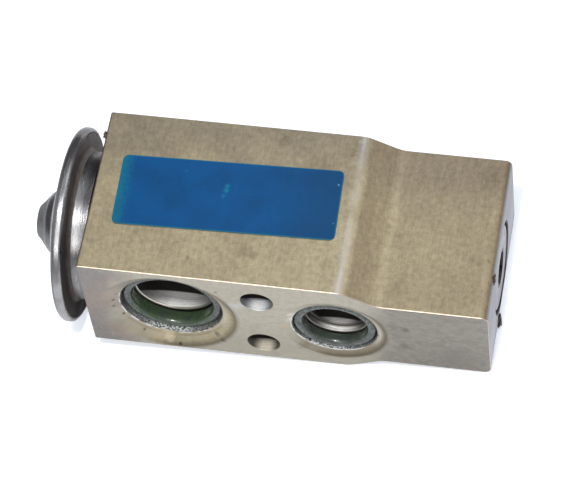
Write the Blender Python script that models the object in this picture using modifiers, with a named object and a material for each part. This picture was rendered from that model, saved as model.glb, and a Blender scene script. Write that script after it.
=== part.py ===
"""Block type thermostatic expansion valve of a vehicle air conditioner.

The aluminium block lies along X, with the power head at its -X end and the
adjusting screw at its +X end. The origin is midway between the two bolt holes
on the front port face, which looks towards -Y. The labelled face is on top.
Sizes are in metres. A station is a place along the valve axis, measured in X.
"""
import math

import bmesh
import bpy

# Clearance that is kept between two pieces that touch, fit or turn in each other
SEAT_GAP = 0.0003
RADIAL_GAP = 0.0003

# Block, an extruded bar cut to length
BLOCK_LENGTH = 0.0788
BLOCK_DEPTH = 0.0352
BLOCK_THICKNESS = 0.0281
SLOPE_LENGTH = 0.0066
TOP_STEP = 0.0037
BOTTOM_STEP = 0.00325
PORT_LINE_DROP = 0.0006
HEAD_EDGE_RADIUS = 0.0005
THIN_EDGE_RADIUS = 0.0014
OUTER_BEND_RADIUS = 0.0048
INNER_BEND_RADIUS = 0.0054
FACE_CHAMFER = 0.00025

# Places along the block from its head face, as shares of its length
SUCTION_PLACE = 0.2107
HOLES_PLACE = 0.4365
LIQUID_PLACE = 0.6193
THIN_END_PLACE = 0.7297

# Bolt holes through the block
BOLT_HOLE_DIAMETER = 0.00625
BOLT_HOLE_SPACING = 0.0158
BOLT_HOLE_CHAMFER = 0.0002

# Suction passage, straight through the block
SUCTION_CONE_DIAMETER = 0.0264
SUCTION_CONE_DEPTH = 0.00175
SUCTION_MOUTH_DIAMETER = 0.0199
SUCTION_SEAT_DEPTH = 0.0054
SUCTION_BORE_DIAMETER = 0.0154

# Liquid ports, the front one in and the rear one out
REAR_LIQUID_OFFSET = 0.0028
LIQUID_CONE_DIAMETER = 0.0206
LIQUID_CONE_DEPTH = 0.0008
LIQUID_MOUTH_DIAMETER = 0.0164
LIQUID_SEAT_DEPTH = 0.0033
LIQUID_COLLAR_DIAMETER = 0.0120
LIQUID_COLLAR_DEPTH = 0.0046
LIQUID_BORE_DIAMETER = 0.0110
INLET_BREAK_IN = 0.0019
OUTLET_WELL_WALL = 0.0021
OUTLET_DRILL_DIAMETER = 0.0054

# Port seals
SUCTION_SEAL_SECTION = 0.0024
LIQUID_SEAL_SECTION = 0.0019

# Power head, two pressed covers closed round a diaphragm
SHEET_THICKNESS = 0.0007
RIM_OVERHANG = 0.0016
RIM_STANDOFF = 0.0039
RIM_LIP_THICKNESS = 0.0010
RIM_TOP_RADIUS = 0.0010
RIM_FOOT_RADIUS = 0.00065
FLANGE_WIDTH = 0.0033
CUP_FILLET_RADIUS = 0.0010
CUP_CORNER_RADIUS = 0.0009
NECK_DIAMETER = 0.0210
NECK_WALL = 0.0026
DOME_RISE = 0.00295
DOME_SHOULDER = 0.0020
BOSS_FOOT_DIAMETER = 0.0138
BOSS_BEND_DIAMETER = 0.0118
BOSS_TOP_DIAMETER = 0.0102
BOSS_WALL_HEIGHT = 0.0013
BOSS_CROWN_HEIGHT = 0.0006
BOSS_FOOT_SHARE = 0.35
DIAPHRAGM_THICKNESS = 0.00015
DIAPHRAGM_WAVE = 0.00012
DIAPHRAGM_WAVES = 2
DIAPHRAGM_FLAT_SHARE = 0.6
HEAD_SEAL_SECTION = 0.0015

# Charge plug, welded in the top of the power head
PLUG_STEM_DIAMETER = 0.0040
PLUG_STEM_LENGTH = 0.0014
PLUG_BASE_DIAMETER = 0.0095
PLUG_TIP_DIAMETER = 0.0068
PLUG_HEIGHT = 0.00155
PLUG_TIP_CHAMFER = 0.0003

# Valve train between the diaphragm and the ball
VALVE_LIFT = 0.0008
STOPPER_CLEARANCE = 0.0009
STOPPER_HUB_DIAMETER = 0.0088
STOPPER_HUB_LENGTH = 0.0034
ROUNDED_EDGE_SHARE = 0.15
ROD_DIAMETER = 0.0056
ROD_SOCKET_DEPTH = 0.0020
PIN_DIAMETER = 0.0022
PIN_SOCKET_DEPTH = 0.0040
BALL_DIAMETER = 0.0050
CARRIER_FRONT_OFFSET = 0.0010
CARRIER_DISC_THICKNESS = 0.0024
CARRIER_BOSS_LENGTH = 0.0040
CARRIER_DIMPLE_FLOOR = 0.0016
DAMPER_THICKNESS = 0.0003
DAMPER_FINGER_LENGTH = 0.0030
DAMPER_SLOT_WIDTH = 0.0032
DAMPER_SLOTS = 2

# Passage of the rod through the block
VAPOUR_HOLE_DIAMETER = 0.0092
ROD_SEAL_SECTION = 0.0013
SEAL_POCKET_DEPTH = 0.0046
RETAINER_THICKNESS = 0.00035
RETAINER_DISH = 0.0004
RETAINER_RIM = 0.0005
RETAINER_SLOT_WIDTH = 0.0007
RETAINER_SLOTS = 3
GUIDE_WALL = 0.0030

# Orifice and valve chamber
SEAT_FROM_INLET = 0.0048
ORIFICE_DIAMETER = 0.0034
ORIFICE_LENGTH = 0.0014
SEAT_CONE_LENGTH = 0.0009
EXIT_CHAMBER_LENGTH = 0.0036
EXIT_CHAMBER_DIAMETER = 0.0068
CHAMBER_DIAMETER = 0.0130

# Superheat spring
SPRING_OUTER_DIAMETER = 0.0102
SPRING_WIRE = 0.0014
SPRING_PITCH = 0.0022
SPRING_CLOSED_GAP = 0.00025

# Adjusting screw
ADJUSTER_TRAVEL = 0.0015
ADJUSTER_RECESS = 0.0004
ADJUSTER_DIAMETER = 0.0174
ADJUSTER_THREAD_LENGTH = 0.0038
ADJUSTER_EDGE = 0.0004
ADJUSTER_MOUTH_CHAMFER = 0.0004
SEAL_BORE_DIAMETER = 0.0152
ADJUSTER_SEAL_SECTION = 0.0018
SPRING_SEAT_WEB = 0.0018
SPRING_SEAT_DEPTH = 0.0012
HEX_ACROSS_FLATS = 0.0060
HEX_DEPTH = 0.0045

# Label on the top face
LABEL_HEAD_MARGIN = 0.00435
LABEL_SLOPE_MARGIN = 0.00295
LABEL_OFF_CENTRE = 0.0010
LABEL_WIDTH = 0.0155
LABEL_CORNER_RADIUS = 0.0012
LABEL_THICKNESS = 0.0001
LABEL_ADHESIVE = 0.0001
LABEL_TURN = math.radians(1.3)

# Faces round a full turn, and points on each bend
BORE_SEGMENTS = 36
HOLE_SEGMENTS = 28
SMALL_SEGMENTS = 20
BEND_POINTS = 3
DOME_POINTS = 5
SEAL_SIDES = 8
SPRING_POINTS_PER_TURN = 12
BALL_RINGS = 12

# How far a cutter reaches past the face that it starts from
CUT_MARGIN = 0.0010

# Faces of the block, from the origin between the bolt holes
HEAD_FACE = -HOLES_PLACE * BLOCK_LENGTH
ADJUSTER_FACE = HEAD_FACE + BLOCK_LENGTH
SLOPE_END = HEAD_FACE + THIN_END_PLACE * BLOCK_LENGTH
SLOPE_START = SLOPE_END - SLOPE_LENGTH
MID_HEIGHT = PORT_LINE_DROP
TOP_FACE = MID_HEIGHT + BLOCK_THICKNESS / 2
BOTTOM_FACE = MID_HEIGHT - BLOCK_THICKNESS / 2
AXIS_DEPTH = BLOCK_DEPTH / 2
SUCTION_STATION = HEAD_FACE + SUCTION_PLACE * BLOCK_LENGTH
LIQUID_STATION = HEAD_FACE + LIQUID_PLACE * BLOCK_LENGTH

# Power head, heights measured away from the block's head face
RIM_RADIUS = BLOCK_DEPTH / 2 + RIM_OVERHANG
FLANGE_UNDER = RIM_STANDOFF
FLANGE_TOP = FLANGE_UNDER + SHEET_THICKNESS
DIAPHRAGM_UNDER = FLANGE_TOP + SEAT_GAP
DIAPHRAGM_TOP = DIAPHRAGM_UNDER + DIAPHRAGM_THICKNESS
COVER_INNER = DIAPHRAGM_TOP + SEAT_GAP
COVER_OUTER = COVER_INNER + SHEET_THICKNESS
LIP_INNER_RADIUS = RIM_RADIUS - RIM_LIP_THICKNESS
FLANGE_RADIUS = LIP_INNER_RADIUS - RADIAL_GAP
CUP_RADIUS = FLANGE_RADIUS - FLANGE_WIDTH
CUP_INNER_RADIUS = CUP_RADIUS - SHEET_THICKNESS
CUP_FLOOR_UNDER = SEAT_GAP
CUP_FLOOR_TOP = CUP_FLOOR_UNDER + SHEET_THICKNESS
NECK_RADIUS = NECK_DIAMETER / 2
NECK_INNER_RADIUS = NECK_RADIUS - SHEET_THICKNESS
HEAD_BORE_RADIUS = NECK_RADIUS + RADIAL_GAP
HEAD_BORE_DEPTH = SUCTION_STATION - SUCTION_BORE_DIAMETER / 2 - NECK_WALL - HEAD_FACE
NECK_LENGTH = HEAD_BORE_DEPTH - SEAT_GAP
HEAD_SEAL_RADIUS = HEAD_BORE_RADIUS + HEAD_SEAL_SECTION / 2
HEAD_SEAL_POCKET_RADIUS = HEAD_BORE_RADIUS + HEAD_SEAL_SECTION + RADIAL_GAP
HEAD_SEAL_POCKET_DEPTH = HEAD_SEAL_SECTION + SEAT_GAP
DOME_FOOT_RADIUS = LIP_INNER_RADIUS - DOME_SHOULDER
DOME_TOP = COVER_OUTER + DOME_RISE
BOSS_TOP = DOME_TOP + BOSS_WALL_HEIGHT + BOSS_CROWN_HEIGHT
PLUG_HOLE_RADIUS = PLUG_STEM_DIAMETER / 2 + RADIAL_GAP
PLUG_BASE = BOSS_TOP + SEAT_GAP

# Valve train, stations in X
STOPPER_RADIUS = CUP_INNER_RADIUS - STOPPER_CLEARANCE
STOPPER_TOP = HEAD_FACE - DIAPHRAGM_UNDER + SEAT_GAP
STOPPER_UNDER = HEAD_FACE - CUP_FLOOR_TOP - VALVE_LIFT - SEAT_GAP
STOPPER_HUB_END = STOPPER_UNDER + STOPPER_HUB_LENGTH
ROD_RADIUS = ROD_DIAMETER / 2
ROD_HOLE_RADIUS = ROD_RADIUS + RADIAL_GAP
ROD_START = STOPPER_HUB_END - ROD_SOCKET_DEPTH
SEAT_STATION = LIQUID_STATION - SEAT_FROM_INLET
EXIT_END = SEAT_STATION - ORIFICE_LENGTH
EXIT_START = EXIT_END - EXIT_CHAMBER_LENGTH
GUIDE_END = EXIT_START - GUIDE_WALL
ROD_END = GUIDE_END - VALVE_LIFT - SEAT_GAP
PIN_RADIUS = PIN_DIAMETER / 2
PIN_HOLE_RADIUS = PIN_RADIUS + RADIAL_GAP
PIN_START = ROD_END - PIN_SOCKET_DEPTH + SEAT_GAP
SEAL_POCKET_START = SUCTION_STATION + SUCTION_BORE_DIAMETER / 2
SEAL_POCKET_END = SEAL_POCKET_START + SEAL_POCKET_DEPTH
SEAL_POCKET_RADIUS = ROD_HOLE_RADIUS + ROD_SEAL_SECTION + RADIAL_GAP
ROD_SEAL_STATION = SEAL_POCKET_END - SEAT_GAP - ROD_SEAL_SECTION / 2
ROD_SEAL_RADIUS = ROD_HOLE_RADIUS + ROD_SEAL_SECTION / 2
RETAINER_BACK = ROD_SEAL_STATION - ROD_SEAL_SECTION / 2 - SEAT_GAP
RETAINER_RADIUS = SEAL_POCKET_RADIUS - RADIAL_GAP
CHAMBER_RADIUS = CHAMBER_DIAMETER / 2
CHAMBER_START = SEAT_STATION + SEAT_CONE_LENGTH
ORIFICE_RADIUS = ORIFICE_DIAMETER / 2
BALL_RADIUS = BALL_DIAMETER / 2
BALL_REACH = BALL_RADIUS + SEAT_GAP
BALL_CONTACT_RADIUS = max(ORIFICE_RADIUS, BALL_REACH / math.sqrt(2))
BALL_STATION = (SEAT_STATION + BALL_CONTACT_RADIUS - ORIFICE_RADIUS
                + math.sqrt(BALL_REACH ** 2 - BALL_CONTACT_RADIUS ** 2))
PIN_END = BALL_STATION - BALL_REACH
CARRIER_FRONT = BALL_STATION + CARRIER_FRONT_OFFSET
CARRIER_BACK = CARRIER_FRONT + CARRIER_DISC_THICKNESS
CARRIER_BOSS_END = CARRIER_BACK + CARRIER_BOSS_LENGTH
CARRIER_DIMPLE_APEX = BALL_STATION + BALL_REACH * math.sqrt(2)
DAMPER_OUTER_RADIUS = CHAMBER_RADIUS - RADIAL_GAP
DAMPER_INNER_RADIUS = DAMPER_OUTER_RADIUS - DAMPER_THICKNESS
CARRIER_RADIUS = DAMPER_INNER_RADIUS - RADIAL_GAP
SPRING_OUTER_RADIUS = SPRING_OUTER_DIAMETER / 2
CARRIER_BOSS_RADIUS = SPRING_OUTER_RADIUS - SPRING_WIRE - RADIAL_GAP
DAMPER_FRONT = CARRIER_BACK + SEAT_GAP
DAMPER_BACK = DAMPER_FRONT + DAMPER_THICKNESS

# Adjusting screw, stations in X
SCREW_FACE = ADJUSTER_FACE - ADJUSTER_RECESS
SCREW_RADIUS = ADJUSTER_DIAMETER / 2
SCREW_BORE_RADIUS = SCREW_RADIUS + RADIAL_GAP
SCREW_THREAD_END = SCREW_FACE - ADJUSTER_THREAD_LENGTH
SCREW_BORE_START = SCREW_THREAD_END - ADJUSTER_TRAVEL - SEAT_GAP
SEAL_BORE_RADIUS = SEAL_BORE_DIAMETER / 2
SCREW_LAND_RADIUS = SEAL_BORE_RADIUS - RADIAL_GAP
ADJUSTER_SEAL_STATION = SCREW_BORE_START - ADJUSTER_TRAVEL - SEAT_GAP - ADJUSTER_SEAL_SECTION / 2
ADJUSTER_SEAL_RADIUS = SEAL_BORE_RADIUS - RADIAL_GAP - ADJUSTER_SEAL_SECTION / 2
GROOVE_HALF_WIDTH = ADJUSTER_SEAL_SECTION / 2 + SEAT_GAP
GROOVE_RADIUS = ADJUSTER_SEAL_RADIUS - ADJUSTER_SEAL_SECTION / 2 - RADIAL_GAP
SPRING_SEAT = ADJUSTER_SEAL_STATION - GROOVE_HALF_WIDTH - SPRING_SEAT_WEB
SCREW_NOSE = SPRING_SEAT - SPRING_SEAT_DEPTH
SPRING_SEAT_RADIUS = SPRING_OUTER_RADIUS + RADIAL_GAP
SEAL_BORE_START = SCREW_NOSE - ADJUSTER_TRAVEL - SEAT_GAP
SPRING_START = DAMPER_BACK + SEAT_GAP
SPRING_END = SPRING_SEAT - SEAT_GAP
SPRING_CLOSED_PITCH = SPRING_WIRE + SPRING_CLOSED_GAP
SPRING_OPEN_LENGTH = SPRING_END - SPRING_START - SPRING_WIRE - 2 * SPRING_CLOSED_PITCH
SPRING_OPEN_TURNS = math.floor(SPRING_OPEN_LENGTH / SPRING_PITCH)

# Label, between the head face and the slope
LABEL_START = HEAD_FACE + LABEL_HEAD_MARGIN
LABEL_LENGTH = SLOPE_START - LABEL_SLOPE_MARGIN - LABEL_START

# Angles from which an edge is shaded sharp, and from which it is chamfered
SMOOTH_ANGLE = math.radians(25)
SQUARE_EDGE_LIMIT = math.radians(60)


def clear_scene():
    for old in list(bpy.data.objects):
        bpy.data.objects.remove(old, do_unlink=True)


def new_collection(name):
    collection = bpy.data.collections.new(name)
    bpy.context.scene.collection.children.link(collection)
    return collection


def add_object(name, data, collection):
    thing = bpy.data.objects.new(name, data)
    collection.objects.link(thing)
    return thing


def make_material(name, colour, roughness, metallic):
    material = bpy.data.materials.new(name)
    material.use_nodes = True
    shader = material.node_tree.nodes["Principled BSDF"]
    shader.inputs["Base Color"].default_value = (*colour, 1.0)
    shader.inputs["Roughness"].default_value = roughness
    shader.inputs["Metallic"].default_value = metallic
    return material


def settle(thing):
    """Turn a curve, or a mesh with modifiers, into a plain mesh."""
    bpy.context.view_layer.update()
    evaluated = thing.evaluated_get(bpy.context.evaluated_depsgraph_get())
    mesh = bpy.data.meshes.new_from_object(evaluated)
    mesh.name = thing.name
    cleaner = bmesh.new()
    cleaner.from_mesh(mesh)
    bmesh.ops.remove_doubles(cleaner, verts=cleaner.verts, dist=1e-7)
    cleaner.to_mesh(mesh)
    cleaner.free()
    name = thing.name
    collection = thing.users_collection[0]
    matrix = thing.matrix_world.copy()
    bpy.data.objects.remove(thing, do_unlink=True)
    solid = add_object(name, mesh, collection)
    solid.matrix_world = matrix
    return solid


def dress(thing, material):
    thing.data.materials.clear()
    thing.data.materials.append(material)
    thing.data.shade_smooth()
    thing.data.set_sharp_from_angle(angle=SMOOTH_ANGLE)


def arc(centre, radius, start, end, points=BEND_POINTS):
    """Points on a round bend, with its angles in degrees."""
    places = []
    for index in range(points + 1):
        angle = math.radians(start + (end - start) * index / points)
        places.append((centre[0] + radius * math.cos(angle), centre[1] + radius * math.sin(angle)))
    return places


def turned(name, profile, segments, collection, closed=False):
    """Turn a profile of radius and height about Z, given from its top down the outer side."""
    mesh = bpy.data.meshes.new(name)
    edges = [(index, index + 1) for index in range(len(profile) - 1)]
    if closed:
        edges.append((len(profile) - 1, 0))
    mesh.from_pydata([(radius, 0.0, height) for radius, height in profile], edges, [])
    thing = add_object(name, mesh, collection)
    screw = thing.modifiers.new("turn", "SCREW")
    screw.axis = "Z"
    screw.steps = segments
    screw.render_steps = segments
    screw.use_merge_vertices = True
    screw.merge_threshold = 1e-6
    return settle(thing)


def ring_profile(radius, section, sides=SEAL_SIDES):
    """Round section of a seal ring, from its top down the outer side."""
    places = []
    for index in range(sides):
        angle = math.pi / 2 - 2 * math.pi * index / sides
        places.append((radius + section / 2 * math.cos(angle), section / 2 * math.sin(angle)))
    return places


def rounded_outline(corners):
    """Closed outline with each corner, given as x, y and radius, replaced by an arc."""
    places = []
    count = len(corners)
    for index, (x, y, radius) in enumerate(corners):
        before = corners[index - 1]
        after = corners[(index + 1) % count]
        back = math.atan2(before[1] - y, before[0] - x)
        ahead = math.atan2(after[1] - y, after[0] - x)
        opening = (ahead - back) % (2 * math.pi)
        turn = 1.0
        if opening > math.pi:
            opening = 2 * math.pi - opening
            turn = -1.0
        middle = back + turn * opening / 2
        reach = radius / math.sin(opening / 2)
        centre = (x + reach * math.cos(middle), y + reach * math.sin(middle))
        start = back - turn * math.pi / 2
        sweep = -turn * (math.pi - opening)
        for step in range(BEND_POINTS + 1):
            angle = start + sweep * step / BEND_POINTS
            places.append((centre[0] + radius * math.cos(angle), centre[1] + radius * math.sin(angle)))
    return places


def flat_plate(name, outline, thickness, collection):
    """Fill an outline in XY and give it a thickness along Z, centred on it."""
    curve = bpy.data.curves.new(name, "CURVE")
    curve.dimensions = "2D"
    curve.fill_mode = "BOTH"
    curve.extrude = thickness / 2
    spline = curve.splines.new("POLY")
    spline.points.add(len(outline) - 1)
    for point, (x, y) in zip(spline.points, outline):
        point.co = (x, y, 0.0, 1.0)
    spline.use_cyclic_u = True
    return add_object(name, curve, collection)


def make_cutter(thing):
    thing.hide_render = True
    thing.display_type = "WIRE"
    return thing


def added_cutter(name, cutters):
    """Name the primitive that was just added, and move it to the cutters."""
    cutter = bpy.context.object
    cutter.name = name
    for owner in list(cutter.users_collection):
        owner.objects.unlink(cutter)
    cutters.objects.link(cutter)
    return make_cutter(cutter)


def slot_cutter(name, cutters):
    bpy.ops.mesh.primitive_cube_add(size=1.0)
    return added_cutter(name, cutters)


def bore_cutter(name, stations, cutters, segments=BORE_SEGMENTS):
    """Turned cutter for a stepped bore, from pairs of depth and radius, mouth first."""
    profile = [(0.0, -stations[0][0])]
    profile += [(radius, -depth) for depth, radius in stations]
    profile.append((0.0, -stations[-1][0]))
    return make_cutter(turned(name, profile, segments, cutters))


def cut(thing, cutter):
    boolean = thing.modifiers.new("cut_" + cutter.name, "BOOLEAN")
    boolean.operation = "DIFFERENCE"
    boolean.solver = "EXACT"
    boolean.object = cutter


def look_front(thing, x, z=0.0):
    """Point the piece's Z out of the front port face, at a place on that face."""
    thing.rotation_euler = (math.pi / 2, 0.0, 0.0)
    thing.location = (x, 0.0, z)


def look_rear(thing, x, z=0.0):
    """Point the piece's Z out of the rear port face, at a place on that face."""
    thing.rotation_euler = (-math.pi / 2, 0.0, 0.0)
    thing.location = (x, BLOCK_DEPTH, z)


def on_axis(thing, axis, height=0.0):
    """Seat a turned piece on an axis empty, at a height along it."""
    thing.parent = axis
    thing.location = (0.0, 0.0, height)


def make_axes(collection):
    """The valve axis looks along +X from above the bolt holes, the head axis along -X from the block."""
    valve_axis = add_object("valve_axis", None, collection)
    valve_axis.location = (0.0, AXIS_DEPTH, 0.0)
    valve_axis.rotation_euler = (0.0, math.pi / 2, 0.0)
    head_axis = add_object("head_axis", None, collection)
    head_axis.location = (HEAD_FACE, AXIS_DEPTH, 0.0)
    head_axis.rotation_euler = (0.0, -math.pi / 2, 0.0)
    return valve_axis, head_axis


def port_mouth(cone_diameter, cone_depth, mouth_diameter):
    """Cone sunk in a port face, carried on past the face, and its mouth."""
    slope = (cone_diameter - mouth_diameter) / 2 / cone_depth
    outside = cone_diameter / 2 + CUT_MARGIN * slope
    return [(-CUT_MARGIN, outside), (cone_depth, mouth_diameter / 2)]


def suction_cutter(cutters):
    front = port_mouth(SUCTION_CONE_DIAMETER, SUCTION_CONE_DEPTH, SUCTION_MOUTH_DIAMETER)
    front.append((SUCTION_SEAT_DEPTH, SUCTION_MOUTH_DIAMETER / 2))
    front.append((SUCTION_SEAT_DEPTH, SUCTION_BORE_DIAMETER / 2))
    rear = [(BLOCK_DEPTH - depth, radius) for depth, radius in reversed(front)]
    cutter = bore_cutter("suction_passage", front + rear, cutters)
    look_front(cutter, SUCTION_STATION)
    return cutter


def liquid_stations(bore_depth):
    stations = port_mouth(LIQUID_CONE_DIAMETER, LIQUID_CONE_DEPTH, LIQUID_MOUTH_DIAMETER)
    stations.append((LIQUID_SEAT_DEPTH, LIQUID_MOUTH_DIAMETER / 2))
    stations.append((LIQUID_SEAT_DEPTH, LIQUID_COLLAR_DIAMETER / 2))
    stations.append((LIQUID_COLLAR_DEPTH, LIQUID_COLLAR_DIAMETER / 2))
    stations.append((LIQUID_COLLAR_DEPTH, LIQUID_BORE_DIAMETER / 2))
    stations.append((bore_depth, LIQUID_BORE_DIAMETER / 2))
    return stations


def inlet_cutter(cutters):
    """The front liquid port opens into the side of the valve chamber."""
    depth = AXIS_DEPTH - CHAMBER_RADIUS + INLET_BREAK_IN
    cutter = bore_cutter("liquid_inlet", liquid_stations(depth), cutters)
    look_front(cutter, LIQUID_STATION)
    return cutter


def outlet_cutters(cutters):
    """The rear liquid port is a well, with a drilling down to the chamber behind the orifice."""
    depth = AXIS_DEPTH - CHAMBER_RADIUS - OUTLET_WELL_WALL
    well = bore_cutter("liquid_outlet", liquid_stations(depth), cutters)
    look_rear(well, LIQUID_STATION - REAR_LIQUID_OFFSET)
    radius = OUTLET_DRILL_DIAMETER / 2
    drilling = [(-CUT_MARGIN, radius), (AXIS_DEPTH, radius)]
    drill = bore_cutter("outlet_drilling", drilling, cutters, HOLE_SEGMENTS)
    look_rear(drill, (EXIT_START + EXIT_END) / 2)
    return [well, drill]


def bolt_hole_cutters(cutters):
    radius = BOLT_HOLE_DIAMETER / 2
    front = [(-CUT_MARGIN, radius + BOLT_HOLE_CHAMFER + CUT_MARGIN), (BOLT_HOLE_CHAMFER, radius)]
    rear = [(BLOCK_DEPTH - depth, size) for depth, size in reversed(front)]
    holes = []
    for side in (1, -1):
        name = "upper_bolt_hole" if side > 0 else "lower_bolt_hole"
        hole = bore_cutter(name, front + rear, cutters, HOLE_SEGMENTS)
        look_front(hole, 0.0, side * BOLT_HOLE_SPACING / 2)
        holes.append(hole)
    return holes


def axis_cutter(cutters, valve_axis):
    """Everything that is bored along the valve axis, as one stepped cutter from the head end."""
    steps = [
        (HEAD_FACE - CUT_MARGIN, HEAD_SEAL_POCKET_RADIUS),
        (HEAD_FACE + HEAD_SEAL_POCKET_DEPTH, HEAD_BORE_RADIUS),
        (HEAD_FACE + HEAD_BORE_DEPTH, VAPOUR_HOLE_DIAMETER / 2),
        (SUCTION_STATION, SEAL_POCKET_RADIUS),
        (SEAL_POCKET_END, ROD_HOLE_RADIUS),
        (GUIDE_END, PIN_HOLE_RADIUS),
        (EXIT_START, EXIT_CHAMBER_DIAMETER / 2),
        (EXIT_END, ORIFICE_RADIUS),
        (SEAT_STATION, ORIFICE_RADIUS),
    ]
    stations = []
    for index in range(len(steps) - 1):
        station, radius = steps[index]
        stations.append((-station, radius))
        stations.append((-steps[index + 1][0], radius))
    stations.append((-CHAMBER_START, ORIFICE_RADIUS + SEAT_CONE_LENGTH))
    for start, end, radius in (
            (CHAMBER_START, SEAL_BORE_START, CHAMBER_RADIUS),
            (SEAL_BORE_START, SCREW_BORE_START, SEAL_BORE_RADIUS),
            (SCREW_BORE_START, ADJUSTER_FACE - ADJUSTER_MOUTH_CHAMFER, SCREW_BORE_RADIUS)):
        stations.append((-start, radius))
        stations.append((-end, radius))
    stations.append((-ADJUSTER_FACE - CUT_MARGIN, SCREW_BORE_RADIUS + ADJUSTER_MOUTH_CHAMFER + CUT_MARGIN))
    stations.reverse()
    cutter = bore_cutter("valve_axis_bore", stations, cutters, HOLE_SEGMENTS)
    on_axis(cutter, valve_axis)
    return cutter


def block_outline():
    """Side view of the block in X and Z, with its sloped step above and below."""
    thin_top = TOP_FACE - TOP_STEP
    thin_bottom = BOTTOM_FACE + BOTTOM_STEP
    return rounded_outline([
        (HEAD_FACE, TOP_FACE, HEAD_EDGE_RADIUS),
        (HEAD_FACE, BOTTOM_FACE, HEAD_EDGE_RADIUS),
        (SLOPE_START, BOTTOM_FACE, OUTER_BEND_RADIUS),
        (SLOPE_END, thin_bottom, INNER_BEND_RADIUS),
        (ADJUSTER_FACE, thin_bottom, THIN_EDGE_RADIUS),
        (ADJUSTER_FACE, thin_top, THIN_EDGE_RADIUS),
        (SLOPE_END, thin_top, INNER_BEND_RADIUS),
        (SLOPE_START, TOP_FACE, OUTER_BEND_RADIUS),
    ])


def make_block(collection, cutters, valve_axis):
    plate = flat_plate("valve_body", block_outline(), BLOCK_DEPTH, collection)
    plate.rotation_euler = (math.pi / 2, 0.0, 0.0)
    plate.location = (0.0, AXIS_DEPTH, 0.0)
    body = settle(plate)
    chamfer = body.modifiers.new("machined_edges", "BEVEL")
    chamfer.width = FACE_CHAMFER
    chamfer.segments = 1
    chamfer.limit_method = "ANGLE"
    chamfer.angle_limit = SQUARE_EDGE_LIMIT
    body = settle(body)
    tools = [suction_cutter(cutters), inlet_cutter(cutters), axis_cutter(cutters, valve_axis)]
    tools += outlet_cutters(cutters) + bolt_hole_cutters(cutters)
    for tool in tools:
        cut(body, tool)
    body = settle(body)
    dress(body, make_material("chromated_aluminium", (0.52, 0.46, 0.33), 0.42, 1.0))


def dome_profile(inward):
    """Outer side of the cover's dome, or its inner side, set in by the sheet thickness."""
    top_radius = BOSS_FOOT_DIAMETER / 2
    places = []
    for index in range(DOME_POINTS + 1):
        share = index / DOME_POINTS
        rise = share - math.sin(2 * math.pi * share) / (4 * math.pi)
        radius = DOME_FOOT_RADIUS + (top_radius - DOME_FOOT_RADIUS) * share
        places.append((radius, COVER_OUTER + DOME_RISE * rise - inward))
    places.reverse()
    return places


def make_power_head_cover(collection, head_axis, steel):
    """Pressed upper cover, with its rim turned down over the lower cover's flange."""
    bend = BOSS_BEND_DIAMETER / 2
    crown = BOSS_TOP_DIAMETER / 2
    wall_top = DOME_TOP + BOSS_WALL_HEIGHT
    profile = [(PLUG_HOLE_RADIUS, BOSS_TOP), (crown, BOSS_TOP), (bend, wall_top)]
    profile.append(((bend + BOSS_FOOT_DIAMETER / 2) / 2, DOME_TOP + BOSS_WALL_HEIGHT * BOSS_FOOT_SHARE))
    profile += dome_profile(0.0)
    top_centre = (RIM_RADIUS - RIM_TOP_RADIUS, COVER_OUTER - RIM_TOP_RADIUS)
    profile += arc(top_centre, RIM_TOP_RADIUS, 90, 0, BEND_POINTS + 2)
    foot_centre = (RIM_RADIUS - RIM_FOOT_RADIUS, FLANGE_UNDER + RIM_FOOT_RADIUS)
    profile += arc(foot_centre, RIM_FOOT_RADIUS, 0, -90)
    profile.append((LIP_INNER_RADIUS, FLANGE_UNDER))
    profile.append((LIP_INNER_RADIUS, COVER_INNER))
    profile += list(reversed(dome_profile(SHEET_THICKNESS)))
    profile.append((bend - SHEET_THICKNESS, wall_top - SHEET_THICKNESS))
    profile.append((crown - SHEET_THICKNESS / 2, BOSS_TOP - SHEET_THICKNESS))
    profile.append((PLUG_HOLE_RADIUS, BOSS_TOP - SHEET_THICKNESS))
    cover = turned("power_head_cover", profile, BORE_SEGMENTS, collection, closed=True)
    on_axis(cover, head_axis)
    dress(cover, steel)


def make_power_head_base(collection, head_axis, steel):
    """Drawn lower cover: flange, cup that stands on the block, and neck that screws into it."""
    bend = (CUP_RADIUS + CUP_FILLET_RADIUS, FLANGE_UNDER - CUP_FILLET_RADIUS)
    corner = (CUP_RADIUS - CUP_CORNER_RADIUS, CUP_FLOOR_UNDER + CUP_CORNER_RADIUS)
    profile = [(FLANGE_RADIUS, FLANGE_TOP), (FLANGE_RADIUS, FLANGE_UNDER)]
    profile += arc(bend, CUP_FILLET_RADIUS, 90, 180)
    profile += arc(corner, CUP_CORNER_RADIUS, 0, -90)
    profile.append((NECK_RADIUS, CUP_FLOOR_UNDER))
    profile.append((NECK_RADIUS, -NECK_LENGTH))
    profile.append((NECK_INNER_RADIUS, -NECK_LENGTH))
    profile.append((NECK_INNER_RADIUS, CUP_FLOOR_TOP))
    profile.append((CUP_INNER_RADIUS, CUP_FLOOR_TOP))
    profile += arc(bend, CUP_FILLET_RADIUS + SHEET_THICKNESS, 180, 90)
    base = turned("power_head_base", profile, BORE_SEGMENTS, collection, closed=True)
    on_axis(base, head_axis)
    dress(base, steel)


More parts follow.
